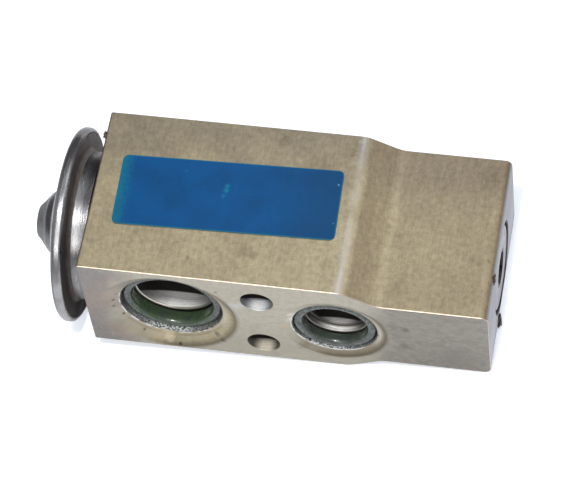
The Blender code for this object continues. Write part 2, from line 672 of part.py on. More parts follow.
def make_diaphragm(collection, head_axis):
    """Thin disc, waved between its flat middle and the clamped rim."""
    flat = STOPPER_RADIUS * DIAPHRAGM_FLAT_SHARE

    def wave(radius):
        share = min(max((radius - flat) / (CUP_INNER_RADIUS - flat), 0.0), 1.0)
        return DIAPHRAGM_WAVE * (1 - math.cos(2 * math.pi * DIAPHRAGM_WAVES * share)) / 2

    radii = [0.0, flat]
    count = DIAPHRAGM_WAVES * 4
    for index in range(1, count + 1):
        radii.append(flat + (CUP_INNER_RADIUS - flat) * index / count)
    radii.append(FLANGE_RADIUS)
    upper = [(radius, DIAPHRAGM_TOP + wave(radius)) for radius in radii]
    lower = [(radius, DIAPHRAGM_UNDER + wave(radius)) for radius in reversed(radii)]
    diaphragm = turned("diaphragm", upper + lower, SMALL_SEGMENTS, collection)
    on_axis(diaphragm, head_axis)
    dress(diaphragm, make_material("diaphragm_steel", (0.60, 0.60, 0.58), 0.30, 1.0))


def make_charge_plug(collection, head_axis):
    """Cone headed plug that closed the power head after it was charged."""
    tip = PLUG_TIP_DIAMETER / 2
    top = PLUG_BASE + PLUG_HEIGHT
    stem = PLUG_STEM_DIAMETER / 2
    profile = [
        (0.0, top),
        (tip - PLUG_TIP_CHAMFER, top),
        (tip, top - PLUG_TIP_CHAMFER),
        (PLUG_BASE_DIAMETER / 2, PLUG_BASE),
        (stem, PLUG_BASE),
        (stem, PLUG_BASE - PLUG_STEM_LENGTH),
        (0.0, PLUG_BASE - PLUG_STEM_LENGTH),
    ]
    plug = turned("charge_plug", profile, SMALL_SEGMENTS, collection)
    on_axis(plug, head_axis)
    dress(plug, make_material("plug_steel", (0.30, 0.30, 0.29), 0.55, 1.0))


def make_seal(name, collection, material, radius, section, segments):
    seal = turned(name, ring_profile(radius, section), segments, collection, closed=True)
    dress(seal, material)
    return seal


def make_port_seal(name, collection, material, mouth, seat_depth, section, station):
    """Seal ring in the mouth of a front port, up against the shoulder of its seat."""
    radius = mouth / 2 - RADIAL_GAP - section / 2
    seal = make_seal(name, collection, material, radius, section, BORE_SEGMENTS)
    look_front(seal, station)
    seal.location.y = seat_depth - SEAT_GAP - section / 2


def make_seals(collection, valve_axis, head_axis):
    """Seal rings of the power head, the rod and the adjusting screw, and those left in the ports."""
    green = make_material("green_seal_rubber", (0.07, 0.13, 0.07), 0.45, 0.0)
    black = make_material("black_seal_rubber", (0.02, 0.02, 0.02), 0.55, 0.0)
    for name, radius, section, segments, axis, height in (
            ("power_head_seal", HEAD_SEAL_RADIUS, HEAD_SEAL_SECTION, BORE_SEGMENTS,
             head_axis, -HEAD_SEAL_SECTION / 2),
            ("rod_seal", ROD_SEAL_RADIUS, ROD_SEAL_SECTION, SMALL_SEGMENTS,
             valve_axis, ROD_SEAL_STATION),
            ("adjuster_seal", ADJUSTER_SEAL_RADIUS, ADJUSTER_SEAL_SECTION, HOLE_SEGMENTS,
             valve_axis, ADJUSTER_SEAL_STATION)):
        on_axis(make_seal(name, collection, black, radius, section, segments), axis, height)
    make_port_seal("suction_port_seal", collection, green, SUCTION_MOUTH_DIAMETER,
                   SUCTION_SEAT_DEPTH, SUCTION_SEAL_SECTION, SUCTION_STATION)
    make_port_seal("liquid_port_seal", collection, green, LIQUID_MOUTH_DIAMETER,
                   LIQUID_SEAT_DEPTH, LIQUID_SEAL_SECTION, LIQUID_STATION)


def make_stopper(collection, valve_axis):
    """Disc under the diaphragm, with a hub that takes the rod."""
    hub = STOPPER_HUB_DIAMETER / 2
    profile = [
        (0.0, ROD_START - SEAT_GAP),
        (ROD_HOLE_RADIUS, ROD_START - SEAT_GAP),
        (ROD_HOLE_RADIUS, STOPPER_HUB_END),
        (hub, STOPPER_HUB_END),
        (hub, STOPPER_UNDER),
        (STOPPER_RADIUS, STOPPER_UNDER),
        (STOPPER_RADIUS, STOPPER_TOP),
        (0.0, STOPPER_TOP),
    ]
    stopper = turned("diaphragm_stopper", profile, HOLE_SEGMENTS, collection)
    on_axis(stopper, valve_axis)
    dress(stopper, make_material("stopper_brass", (0.60, 0.47, 0.22), 0.35, 1.0))


def make_rod(collection, valve_axis):
    """Sensing rod across the suction passage, with a socket for the pin in its far end."""
    edge = ROD_RADIUS * ROUNDED_EDGE_SHARE
    profile = [
        (0.0, ROD_END - PIN_SOCKET_DEPTH),
        (PIN_HOLE_RADIUS, ROD_END - PIN_SOCKET_DEPTH),
        (PIN_HOLE_RADIUS, ROD_END),
        (ROD_RADIUS - edge, ROD_END),
        (ROD_RADIUS, ROD_END - edge),
        (ROD_RADIUS, ROD_START + edge),
        (ROD_RADIUS - edge, ROD_START),
        (0.0, ROD_START),
    ]
    rod = turned("sensing_rod", profile, SMALL_SEGMENTS, collection)
    on_axis(rod, valve_axis)
    dress(rod, make_material("rod_aluminium", (0.72, 0.72, 0.70), 0.35, 1.0))


def make_pin(collection, valve_axis):
    """Thin pin from the rod to the ball, through the wall and the orifice."""
    edge = PIN_RADIUS * ROUNDED_EDGE_SHARE
    profile = [
        (0.0, PIN_END),
        (PIN_RADIUS - edge, PIN_END),
        (PIN_RADIUS, PIN_END - edge),
        (PIN_RADIUS, PIN_START),
        (0.0, PIN_START),
    ]
    pin = turned("push_pin", profile, SMALL_SEGMENTS, collection)
    on_axis(pin, valve_axis)
    dress(pin, make_material("pin_steel", (0.62, 0.62, 0.61), 0.20, 1.0))


def make_retainer(collection, cutters, valve_axis):
    """Dished push-on washer that keeps the rod seal in its pocket, with teeth towards the rod."""
    dish = RETAINER_DISH
    profile = [
        (ROD_HOLE_RADIUS, RETAINER_BACK - dish),
        (RETAINER_RADIUS, RETAINER_BACK),
        (RETAINER_RADIUS, RETAINER_BACK - RETAINER_THICKNESS),
        (ROD_HOLE_RADIUS, RETAINER_BACK - dish - RETAINER_THICKNESS),
    ]
    retainer = turned("rod_seal_retainer", profile, HOLE_SEGMENTS, collection, closed=True)
    on_axis(retainer, valve_axis)
    slot_length = 2 * (RETAINER_RADIUS - RETAINER_RIM)
    slot_height = 2 * (dish + RETAINER_THICKNESS + CUT_MARGIN)
    for index in range(RETAINER_SLOTS):
        slot = slot_cutter("retainer_slot_%d" % (index + 1), cutters)
        slot.scale = (slot_length, RETAINER_SLOT_WIDTH, slot_height)
        slot.rotation_euler = (0.0, 0.0, math.pi * index / RETAINER_SLOTS)
        on_axis(slot, valve_axis, RETAINER_BACK)
        cut(retainer, slot)
    dress(retainer, make_material("retainer_steel", (0.55, 0.55, 0.54), 0.30, 1.0))


def make_ball(collection, valve_axis):
    mesh = bpy.data.meshes.new("valve_ball")
    sphere = bmesh.new()
    bmesh.ops.create_uvsphere(sphere, u_segments=SMALL_SEGMENTS, v_segments=BALL_RINGS, radius=BALL_RADIUS)
    sphere.to_mesh(mesh)
    sphere.free()
    ball = add_object("valve_ball", mesh, collection)
    on_axis(ball, valve_axis, BALL_STATION)
    dress(ball, make_material("ball_steel", (0.65, 0.65, 0.65), 0.10, 1.0))


def make_carrier(collection, valve_axis):
    """Disc with a cone that holds the ball, and a boss that centres the spring."""
    floor = CARRIER_FRONT + CARRIER_DIMPLE_FLOOR
    edge = CARRIER_BOSS_RADIUS * ROUNDED_EDGE_SHARE
    profile = [
        (0.0, CARRIER_BOSS_END),
        (CARRIER_BOSS_RADIUS - edge, CARRIER_BOSS_END),
        (CARRIER_BOSS_RADIUS, CARRIER_BOSS_END - edge),
        (CARRIER_BOSS_RADIUS, CARRIER_BACK),
        (CARRIER_RADIUS, CARRIER_BACK),
        (CARRIER_RADIUS, CARRIER_FRONT),
        (CARRIER_DIMPLE_APEX - CARRIER_FRONT, CARRIER_FRONT),
        (CARRIER_DIMPLE_APEX - floor, floor),
        (0.0, floor),
    ]
    carrier = turned("ball_carrier", profile, HOLE_SEGMENTS, collection)
    on_axis(carrier, valve_axis)
    dress(carrier, make_material("carrier_brass", (0.62, 0.48, 0.22), 0.35, 1.0))


def make_damping_ring(collection, cutters, valve_axis):
    """Thin spring cup behind the carrier, slit into fingers that run on the chamber wall."""
    boss = CARRIER_BOSS_RADIUS + RADIAL_GAP
    finger_tip = DAMPER_FRONT - DAMPER_FINGER_LENGTH
    profile = [
        (boss, DAMPER_BACK),
        (DAMPER_OUTER_RADIUS, DAMPER_BACK),
        (DAMPER_OUTER_RADIUS, finger_tip),
        (DAMPER_INNER_RADIUS, finger_tip),
        (DAMPER_INNER_RADIUS, DAMPER_FRONT),
        (boss, DAMPER_FRONT),
    ]
    ring = turned("damping_ring", profile, HOLE_SEGMENTS, collection, closed=True)
    on_axis(ring, valve_axis)
    slot_middle = DAMPER_FRONT - DAMPER_FINGER_LENGTH / 2 - SEAT_GAP
    for index in range(DAMPER_SLOTS):
        slot = slot_cutter("damper_slot_%d" % (index + 1), cutters)
        slot.scale = (CHAMBER_DIAMETER, DAMPER_SLOT_WIDTH, DAMPER_FINGER_LENGTH)
        slot.rotation_euler = (0.0, 0.0, math.pi / 4 + math.pi * index / DAMPER_SLOTS)
        on_axis(slot, valve_axis, slot_middle)
        cut(ring, slot)
    dress(ring, make_material("damper_steel", (0.55, 0.55, 0.54), 0.28, 1.0))


def make_spring(collection, valve_axis):
    """Coil spring with a closed turn at each end, from the damping ring to the screw."""
    radius = SPRING_OUTER_RADIUS - SPRING_WIRE / 2
    start = SPRING_START + SPRING_WIRE / 2
    open_pitch = SPRING_OPEN_LENGTH / SPRING_OPEN_TURNS
    curve = bpy.data.curves.new("superheat_spring", "CURVE")
    curve.dimensions = "3D"
    curve.bevel_depth = SPRING_WIRE / 2
    curve.bevel_resolution = 2
    curve.use_fill_caps = True
    spline = curve.splines.new("POLY")
    count = (SPRING_OPEN_TURNS + 2) * SPRING_POINTS_PER_TURN
    spline.points.add(count)
    for index in range(count + 1):
        turns = index / SPRING_POINTS_PER_TURN
        lower = min(turns, 1.0) * SPRING_CLOSED_PITCH
        middle = min(max(turns - 1.0, 0.0), SPRING_OPEN_TURNS) * open_pitch
        upper = max(turns - 1.0 - SPRING_OPEN_TURNS, 0.0) * SPRING_CLOSED_PITCH
        angle = 2 * math.pi * turns
        spline.points[index].co = (
            radius * math.cos(angle), radius * math.sin(angle), start + lower + middle + upper, 1.0)
    spring = settle(add_object("superheat_spring", curve, collection))
    on_axis(spring, valve_axis)
    dress(spring, make_material("spring_steel", (0.50, 0.50, 0.48), 0.30, 1.0))


def make_adjusting_screw(collection, cutters, valve_axis):
    """Threaded plug with a hexagon socket, a seal groove and a recess for the spring."""
    groove_outer = ADJUSTER_SEAL_STATION + GROOVE_HALF_WIDTH
    groove_inner = ADJUSTER_SEAL_STATION - GROOVE_HALF_WIDTH
    edge = ADJUSTER_EDGE
    profile = [
        (0.0, SCREW_FACE),
        (SCREW_RADIUS - edge, SCREW_FACE),
        (SCREW_RADIUS, SCREW_FACE - edge),
        (SCREW_RADIUS, SCREW_THREAD_END + edge),
        (SCREW_RADIUS - edge, SCREW_THREAD_END),
        (SCREW_LAND_RADIUS, SCREW_THREAD_END),
        (SCREW_LAND_RADIUS, groove_outer),
        (GROOVE_RADIUS, groove_outer),
        (GROOVE_RADIUS, groove_inner),
        (SCREW_LAND_RADIUS, groove_inner),
        (SCREW_LAND_RADIUS, SCREW_NOSE),
        (SPRING_SEAT_RADIUS, SCREW_NOSE),
        (SPRING_SEAT_RADIUS, SPRING_SEAT),
        (0.0, SPRING_SEAT),
    ]
    screw = turned("adjusting_screw", profile, HOLE_SEGMENTS, collection)
    on_axis(screw, valve_axis)
    corner_radius = HEX_ACROSS_FLATS / math.sqrt(3)
    bpy.ops.mesh.primitive_cylinder_add(vertices=6, radius=corner_radius, depth=2 * HEX_DEPTH)
    socket = added_cutter("hexagon_socket", cutters)
    socket.rotation_euler = (0.0, 0.0, math.pi / 6)
    on_axis(socket, valve_axis, SCREW_FACE)
    cut(screw, socket)
    dress(screw, make_material("screw_metal", (0.50, 0.49, 0.50), 0.40, 1.0))


def make_label(collection):
    """Blank blue film label, stuck slightly askew on the top face."""
    half_length = LABEL_LENGTH / 2
    half_width = LABEL_WIDTH / 2
    corners = [(-half_length, -half_width), (half_length, -half_width),
               (half_length, half_width), (-half_length, half_width)]
    outline = rounded_outline([(x, y, LABEL_CORNER_RADIUS) for x, y in corners])
    plate = flat_plate("label", outline, LABEL_THICKNESS, collection)
    height = TOP_FACE + LABEL_ADHESIVE + LABEL_THICKNESS / 2
    plate.location = (LABEL_START + half_length, AXIS_DEPTH + LABEL_OFF_CENTRE, height)
    plate.rotation_euler = (0.0, 0.0, LABEL_TURN)
    label = settle(plate)
    dress(label, make_material("blue_film", (0.01, 0.12, 0.33), 0.35, 0.0))


def main():
    clear_scene()
    collection = new_collection("expansion_valve")
    cutters = new_collection("cutters")
    valve_axis, head_axis = make_axes(collection)
    steel = make_material("stainless_steel", (0.55, 0.55, 0.54), 0.25, 1.0)
    make_block(collection, cutters, valve_axis)
    make_power_head_cover(collection, head_axis, steel)
    make_power_head_base(collection, head_axis, steel.copy())
    make_diaphragm(collection, head_axis)
    make_charge_plug(collection, head_axis)
    make_seals(collection, valve_axis, head_axis)
    make_stopper(collection, valve_axis)
    make_rod(collection, valve_axis)
    make_pin(collection, valve_axis)
    make_retainer(collection, cutters, valve_axis)
    make_ball(collection, valve_axis)
    make_carrier(collection, valve_axis)
    make_damping_ring(collection, cutters, valve_axis)
    make_spring(collection, valve_axis)
    make_adjusting_screw(collection, cutters, valve_axis)
    make_label(collection)


main()
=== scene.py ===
"""Looks of the expansion valve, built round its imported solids. The sections below give
sizes in millimetres, and MM turns them into the metres of the frame."""
import math

import bmesh
import bpy
from mathutils import Matrix, Vector, noise


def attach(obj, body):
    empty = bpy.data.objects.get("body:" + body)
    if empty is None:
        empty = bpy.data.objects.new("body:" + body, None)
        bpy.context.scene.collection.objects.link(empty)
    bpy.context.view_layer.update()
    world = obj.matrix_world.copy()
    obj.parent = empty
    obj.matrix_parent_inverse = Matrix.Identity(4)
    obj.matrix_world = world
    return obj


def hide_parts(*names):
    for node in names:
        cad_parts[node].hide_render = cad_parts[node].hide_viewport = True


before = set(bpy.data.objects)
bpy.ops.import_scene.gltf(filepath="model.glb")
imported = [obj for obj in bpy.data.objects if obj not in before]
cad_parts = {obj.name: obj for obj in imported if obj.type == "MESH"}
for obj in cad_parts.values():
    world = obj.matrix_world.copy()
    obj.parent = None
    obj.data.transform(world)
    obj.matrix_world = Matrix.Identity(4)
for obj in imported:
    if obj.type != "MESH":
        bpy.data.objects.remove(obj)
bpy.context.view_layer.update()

# Camera
# The valve was photographed from above and in front, looking mostly down on its label,
# through a long lens. The place and lens were fitted to the block's corners.
MM = 0.001
camera_data = bpy.data.cameras.new("photo_camera")
camera_data.sensor_fit = "HORIZONTAL"
camera_data.sensor_width = 36.0
camera_data.lens = 195.13
camera_data.clip_start = 0.01
camera_data.clip_end = 20.0
photo_camera = bpy.data.objects.new("photo_camera", camera_data)
bpy.context.scene.collection.objects.link(photo_camera)
photo_camera.rotation_mode = "QUATERNION"
photo_camera.rotation_quaternion = (0.960872, 0.260752, 0.062358, 0.069606)
photo_camera.location = (0.096507, -0.279281, 0.518449)
bpy.context.scene.camera = photo_camera
bpy.context.scene.view_settings.view_transform = "Standard"


# Valve block
# One bar of extruded aluminium, sawn to length, milled and bored, then dipped in a
# yellowish chromate bath. Die lines run across its top; the port faces are milled.
HEAD_FACE, ADJUSTER_FACE = -34.4, 44.4
BLOCK_DEPTH = 35.2
AXIS_DEPTH = BLOCK_DEPTH / 2
TOP_FACE, BOTTOM_FACE = 14.65, -13.45
THIN_TOP, THIN_BOTTOM = 10.95, -10.2
SLOPE_START, SLOPE_END = 16.5, 23.1
SUCTION_X, INLET_X, OUTLET_X = -17.8, 14.4, 11.6
SUCTION_CONE, SUCTION_MOUTH, SUCTION_SEAT_DEPTH = 13.2, 9.95, 5.4
LIQUID_CONE, LIQUID_MOUTH, LIQUID_SEAT_DEPTH, LIQUID_COLLAR_DEPTH = 10.3, 8.2, 3.3, 4.6
BOLT_HOLE_Z = 7.9
EDGE_ROUNDING, EDGE_STEPS = 0.22, 3


def rounded_corners(corners, steps=12):
    """Closed outline in which each corner, given with its radius, becomes an arc."""
    outline = []
    for index, (x, z, radius) in enumerate(corners):
        corner = Vector((x, z))
        back = (Vector(corners[index - 1][:2]) - corner).normalized()
        ahead = (Vector(corners[(index + 1) % len(corners)][:2]) - corner).normalized()
        half = back.angle(ahead) / 2
        centre = corner + (back + ahead).normalized() * radius / math.sin(half)
        first = corner + back * radius / math.tan(half) - centre
        last = corner + ahead * radius / math.tan(half) - centre
        sweep = first.angle_signed(last)
        for step in range(steps + 1):
            turn = Matrix.Rotation(-sweep * step / steps, 2)
            outline.append(centre + turn @ first)
    return outline


def inset(outline, distance):
    """Outline moved inwards, for an edge rounding. The outline runs anticlockwise."""
    moved = []
    for index, point in enumerate(outline):
        along = (outline[(index + 1) % len(outline)] - outline[index - 1]).normalized()
        moved.append(point + Vector((-along.y, along.x)) * distance)
    return moved


def new_piece(name, mesh_builder):
    mesh = bpy.data.meshes.new(name)
    bmesh.ops.recalc_face_normals(mesh_builder, faces=mesh_builder.faces)
    mesh_builder.to_mesh(mesh)
    mesh_builder.free()
    piece = bpy.data.objects.new(name, mesh)
    bpy.context.scene.collection.objects.link(piece)
    return piece


def bar(name, outline, low, high, rounding):
    """Bar along Y with rounded edges round both of its end faces."""
    stations = []
    for step in range(EDGE_STEPS + 1):
        angle = math.pi / 2 * step / EDGE_STEPS
        stations.append((low + rounding * (1 - math.sin(angle)), rounding * (1 - math.cos(angle))))
    stations.reverse()
    stations += [(low + high - depth, reach) for depth, reach in reversed(stations)]
    mesh = bmesh.new()
    rings = []
    for depth, reach in stations:
        rings.append([mesh.verts.new(Vector((point.x, depth, point.y)) * MM)
                      for point in inset(outline, reach)])
    for near, far in zip(rings, rings[1:]):
        for index in range(len(near)):
            following = (index + 1) % len(near)
            mesh.faces.new((near[index], near[following], far[following], far[index]))
    mesh.faces.new(rings[0])
    mesh.faces.new(rings[-1])
    return new_piece(name, mesh)


def turned(name, profile, axis, centre, segments=96, closed=False):
    """Turn a profile, given as stations along the axis and radii, about the axis at the centre."""
    mesh = bmesh.new()
    rings = []
    for station, radius in profile:
        points = []
        for index in range(segments if radius > 0 else 1):
            angle = 2 * math.pi * index / segments
            side, up = radius * math.cos(angle) + centre[0], radius * math.sin(angle) + centre[1]
            corner = (station, side, up) if axis == "X" else (side, station, up)
            points.append(mesh.verts.new(Vector(corner) * MM))
        rings.append(points)
    pairs = list(zip(rings, rings[1:]))
    if closed:
        pairs.append((rings[-1], rings[0]))
    for near, far in pairs:
        for index in range(segments):
            following = (index + 1) % segments
            corners = [near[index % len(near)], near[following % len(near)],
                       far[following % len(far)], far[index % len(far)]]
            corners = list(dict.fromkeys(corners))
            if len(corners) > 2:
                mesh.faces.new(corners)
    return new_piece(name, mesh)


def cut_away(piece, cutters):
    """Take the cutters out of a piece, and leave it as a plain mesh."""
    for cutter in cutters:
        boolean = piece.modifiers.new(cutter.name, "BOOLEAN")
        boolean.operation = "DIFFERENCE"
        boolean.solver = "EXACT"
        boolean.object = cutter
    bpy.context.view_layer.update()
    finished = piece.evaluated_get(bpy.context.evaluated_depsgraph_get())
    cut_mesh = bpy.data.meshes.new_from_object(finished)
    piece.modifiers.clear()
    piece.data = cut_mesh
    for cutter in cutters:
        bpy.data.objects.remove(cutter, do_unlink=True)


def shade(piece, angle=24):
    """Smooth shading that keeps edges above the angle and the flatness of large faces."""
    piece.data.shade_smooth()
    piece.data.set_sharp_from_angle(angle=math.radians(angle))
    weighted = piece.modifiers.new("flat_faces_first", "WEIGHTED_NORMAL")
    weighted.keep_sharp = True
    weighted.weight = 90


def there_and_back(front):
    """A bore that is the same from the rear face: its front half, and that half mirrored."""
    return front + [(BLOCK_DEPTH - depth, radius) for depth, radius in reversed(front)]


def bore(name, profile, axis, centre, segments=96):
    """Closed body that cuts a round bore. Its profile gets a flat end on each side."""
    closed_ends = [(profile[0][0], 0.0)] + profile + [(profile[-1][0], 0.0)]
    return turned(name, closed_ends, axis, centre, segments)


def liquid_port(name, x, depth, from_rear=False):
    """Cutter of a liquid port: cone, mouth, seat of its seal ring, collar and bore."""
    profile = [(-1.0, 13.1), (-0.02, 10.55), (0.06, 10.2), (0.72, 8.32), (0.8, 8.22), (0.95, LIQUID_MOUTH),
               (LIQUID_SEAT_DEPTH, LIQUID_MOUTH), (LIQUID_SEAT_DEPTH, 6.12), (3.36, 6.03), (3.5, 6.0),
               (4.55, 6.0), (LIQUID_COLLAR_DEPTH, 5.6), (4.66, 5.53), (4.8, 5.5), (depth, 5.5)]
    if from_rear:
        profile = [(BLOCK_DEPTH - station, radius) for station, radius in profile]
    return bore(name, profile, "Y", (x, 0.0))


block_outline = rounded_corners([
    (HEAD_FACE, TOP_FACE, 0.45), (HEAD_FACE, BOTTOM_FACE, 0.45), (SLOPE_START, BOTTOM_FACE, 4.8),
    (SLOPE_END, THIN_BOTTOM, 5.4), (ADJUSTER_FACE, THIN_BOTTOM, 1.4), (ADJUSTER_FACE, THIN_TOP, 1.4),
    (SLOPE_END, THIN_TOP, 5.4), (SLOPE_START, TOP_FACE, 4.8)])
block = bar("block", block_outline, 0.0, BLOCK_DEPTH, EDGE_ROUNDING)

suction_half = [(-1.0, 15.15), (-0.03, 13.38), (0.08, 13.02), (1.66, 10.14), (1.76, 10.0),
                (1.95, SUCTION_MOUTH), (SUCTION_SEAT_DEPTH, SUCTION_MOUTH), (SUCTION_SEAT_DEPTH, 8.0),
                (5.44, 7.88), (5.62, 7.74), (5.75, 7.7)]
bolt_half = [(-0.9, 4.3), (-0.03, 3.39), (0.08, 3.22), (0.3, 3.125)]
axis_profile = [
    (HEAD_FACE - 1, 12.6), (HEAD_FACE + 1.8, 12.6), (HEAD_FACE + 1.8, 10.8), (-28.1, 10.8), (-28.1, 4.6),
    (SUCTION_X, 4.6), (SUCTION_X, 4.7), (-5.5, 4.7), (-5.5, 3.1), (1.6, 3.1), (1.6, 1.4), (4.6, 1.4),
    (4.6, 3.4), (8.2, 3.4), (8.2, 1.7), (9.6, 1.7), (10.5, 2.6), (10.5, 6.5), (29.7, 6.5), (29.7, 7.6),
    (38.4, 7.6), (38.4, 9.0), (ADJUSTER_FACE - 0.2, 9.0), (ADJUSTER_FACE + 1, 10.2)]
cutters = [
    bore("suction_bore", there_and_back(suction_half), "Y", (SUCTION_X, 0.0), 128),
    bore("axis_bore", axis_profile, "X", (AXIS_DEPTH, 0.0)),
    liquid_port("inlet_bore", INLET_X, 13.0),
    liquid_port("outlet_bore", OUTLET_X, 9.0, from_rear=True),
    bore("outlet_drilling", [(AXIS_DEPTH, 2.7), (BLOCK_DEPTH - 8.0, 2.7)], "Y", (6.4, 0.0), 48),
]
for height in (BOLT_HOLE_Z, -BOLT_HOLE_Z):
    cutters.append(bore("bolt_bore", there_and_back(bolt_half), "Y", (0.0, height), 64))
cut_away(block, cutters)
shade(block)


def add(tree, kind, inputs=None, **settings):
    """Add a shader node. An input that is given another node's output is linked to it."""
    node = tree.nodes.new("ShaderNode" + kind)
    for name, value in settings.items():
        setattr(node, name, value)
    for name, value in (inputs or {}).items():
        if isinstance(value, bpy.types.NodeSocket):
            tree.links.new(value, node.inputs[name])
        else:
            node.inputs[name].default_value = value
    return node


def maths(tree, operation, first, second=0.0, clamp=False):
    return add(tree, "Math", {0: first, 1: second}, operation=operation, use_clamp=clamp).outputs[0]


def times(tree, first, *others):
    for other in others:
        first = maths(tree, "MULTIPLY", first, other)
    return first


def plus(tree, first, *others):
    for other in others:
        first = maths(tree, "ADD", first, other)
    return first


def minus(tree, first, second):
    return maths(tree, "SUBTRACT", first, second)


def off_by(tree, value, middle):
    """How far a value is from the middle one, on either side."""
    return maths(tree, "ABSOLUTE", minus(tree, value, middle))


def fade(tree, value, start, end, low=0.0, high=1.0):
    """Smooth step of a value, from low at the start to high at the end."""
    inputs = {"Value": value, "From Min": start, "From Max": end, "To Min": low, "To Max": high}
    return add(tree, "MapRange", inputs, interpolation_type="SMOOTHSTEP").outputs[0]


def tint(tree, mask, first, second):
    """Mix two colours by a mask."""
    return add(tree, "Mix", {0: mask, 6: first, 7: second}, data_type="RGBA").outputs[2]


def scaled(tree, colour, factor):
    return add(tree, "VectorMath", {0: colour, "Scale": factor}, operation="SCALE").outputs[0]


def stretched(tree, place, x, y, z):
    return add(tree, "VectorMath", {0: place, 1: (x, y, z)}, operation="MULTIPLY").outputs[0]


def sides_of(tree, vector):
    return add(tree, "SeparateXYZ", {0: vector}).outputs


def axis_reach(tree, place):
    """Distance of a place from the valve axis."""
    offset = add(tree, "VectorMath", {0: place, 1: (0.0, AXIS_DEPTH, 0.0)}, operation="SUBTRACT")
    across_axis = stretched(tree, offset.outputs[0], 0.0, 1.0, 1.0)
    return add(tree, "VectorMath", {0: across_axis}, operation="LENGTH").outputs["Value"]


def raise_surface(tree, shader, height, distance):
    """Bump from a height map, with its depth in millimetres."""
    bump = add(tree, "Bump", {"Height": height, "Distance": distance * MM, "Strength": 1.0})
    tree.links.new(bump.outputs[0], shader["Normal"])


def paint(tree, shader, colour, roughness):
    tree.links.new(colour, shader["Base Color"])
    tree.links.new(roughness, shader["Roughness"])


def new_finish(name, roughness, metallic=1.0):
    """A material with its Principled shader, and the place on the piece in millimetres."""
    material = bpy.data.materials.new(name)
    material.use_nodes = True
    tree = material.node_tree
    shader = tree.nodes["Principled BSDF"].inputs
    shader["Roughness"].default_value = roughness
    shader["Metallic"].default_value = metallic
    place = scaled(tree, add(tree, "TexCoord").outputs["Object"], 1 / MM)
    return material, tree, shader, place


def new_effect(name, *titles):
    """Start a shader node group with a place and named values going in and a mask coming out."""
    tree = bpy.data.node_groups.new(name, "ShaderNodeTree")
    tree.interface.new_socket(name="Place", in_out="INPUT", socket_type="NodeSocketVector")
    for title in titles:
        tree.interface.new_socket(name=title, in_out="INPUT", socket_type="NodeSocketFloat")
    tree.interface.new_socket(name="Mask", in_out="OUTPUT", socket_type="NodeSocketFloat")
    return tree, tree.nodes.new("NodeGroupInput").outputs, tree.nodes.new("NodeGroupOutput").inputs["Mask"]


def effect(tree, group, inputs):
    return add(tree, "Group", inputs, node_tree=group).outputs[0]


# Cloudy stain: soft patches with an edge between Start and End
stain, given, mask_out = new_effect("cloudy_stain", "Scale", "Start", "End", "Detail")
cloud = add(stain, "TexNoise", {"Vector": given["Place"], "Scale": given["Scale"], "Detail": given["Detail"]})
stain.links.new(fade(stain, cloud.outputs[0], given["Start"], given["End"]), mask_out)


def stained(tree, place, scale, start, end, detail=4.0):
    return effect(tree, stain, {"Place": place, "Scale": scale, "Start": start, "End": end, "Detail": detail})


# Pits: small round marks, of which a cloudy mask keeps only some patches
pits, given, mask_out = new_effect("scattered_pits", "Scale", "Size", "Patch", "Share")
cells = add(pits, "TexVoronoi", {"Vector": given["Place"], "Scale": given["Scale"]}).outputs["Distance"]
cell_noise = add(pits, "TexNoise", {"Vector": given["Place"], "Scale": 6.0}).outputs[0]
dots = maths(pits, "LESS_THAN", plus(pits, cells, times(pits, cell_noise, 0.08)), given["Size"])
patches = add(pits, "TexNoise", {"Vector": given["Place"], "Scale": given["Patch"], "Detail": 2.0}).outputs[0]
pits.links.new(times(pits, dots, maths(pits, "GREATER_THAN", patches, given["Share"])), mask_out)


def pit_marks(tree, place, scale, size, patch, share):
    return effect(tree, pits, {"Place": place, "Scale": scale, "Size": size, "Patch": patch, "Share": share})


# Grain: fine uneven lines, when the place is stretched along them
grain, given, mask_out = new_effect("fine_grain", "Scale", "Contrast")
broad = add(grain, "TexNoise", {"Vector": given["Place"], "Scale": given["Scale"], "Detail": 5.0}).outputs[0]
fine = add(grain, "TexNoise", {
    "Vector": given["Place"], "Scale": times(grain, given["Scale"], 3.7), "Detail": 3.0}).outputs[0]
both = plus(grain, times(grain, broad, 0.6), times(grain, fine, 0.4))
contrasted = times(grain, minus(grain, both, 0.5), given["Contrast"])
grain.links.new(maths(grain, "ADD", contrasted, 0.5, clamp=True), mask_out)


def grained(tree, place, scale, contrast):
    return effect(tree, grain, {"Place": place, "Scale": scale, "Contrast": contrast})


# Ring: the surface within a band of radii round a port
ring, given, mask_out = new_effect("port_ring", "Port X", "Radius", "Width")
sides = sides_of(ring, given["Place"])
across = minus(ring, sides["X"], given["Port X"])
squares = plus(ring, times(ring, across, across), times(ring, sides["Z"], sides["Z"]))
away = off_by(ring, maths(ring, "POWER", squares, 0.5), given["Radius"])
share = maths(ring, "DIVIDE", away, given["Width"])
ring.links.new(maths(ring, "SUBTRACT", 1.0, share, clamp=True), mask_out)


def round_port(tree, place, x, radius, width):
    return effect(tree, ring, {"Place": place, "Port X": x, "Radius": radius, "Width": width})


# Soft spot: one round mark with a ragged edge
soft, given, mask_out = new_effect("soft_spot", "Spot X", "Spot Y", "Spot Z", "Size")
middle = add(soft, "CombineXYZ", {0: given["Spot X"], 1: given["Spot Y"], 2: given["Spot Z"]}).outputs[0]
apart = add(soft, "VectorMath", {0: given["Place"], 1: middle}, operation="DISTANCE").outputs["Value"]
ragged = add(soft, "TexNoise", {"Vector": given["Place"], "Scale": 1.1, "Detail": 5.0}).outputs[0]
apart = times(soft, maths(soft, "DIVIDE", apart, given["Size"]), plus(soft, 0.1, times(soft, ragged, 1.8)))
soft.links.new(fade(soft, apart, 1.15, 0.15), mask_out)


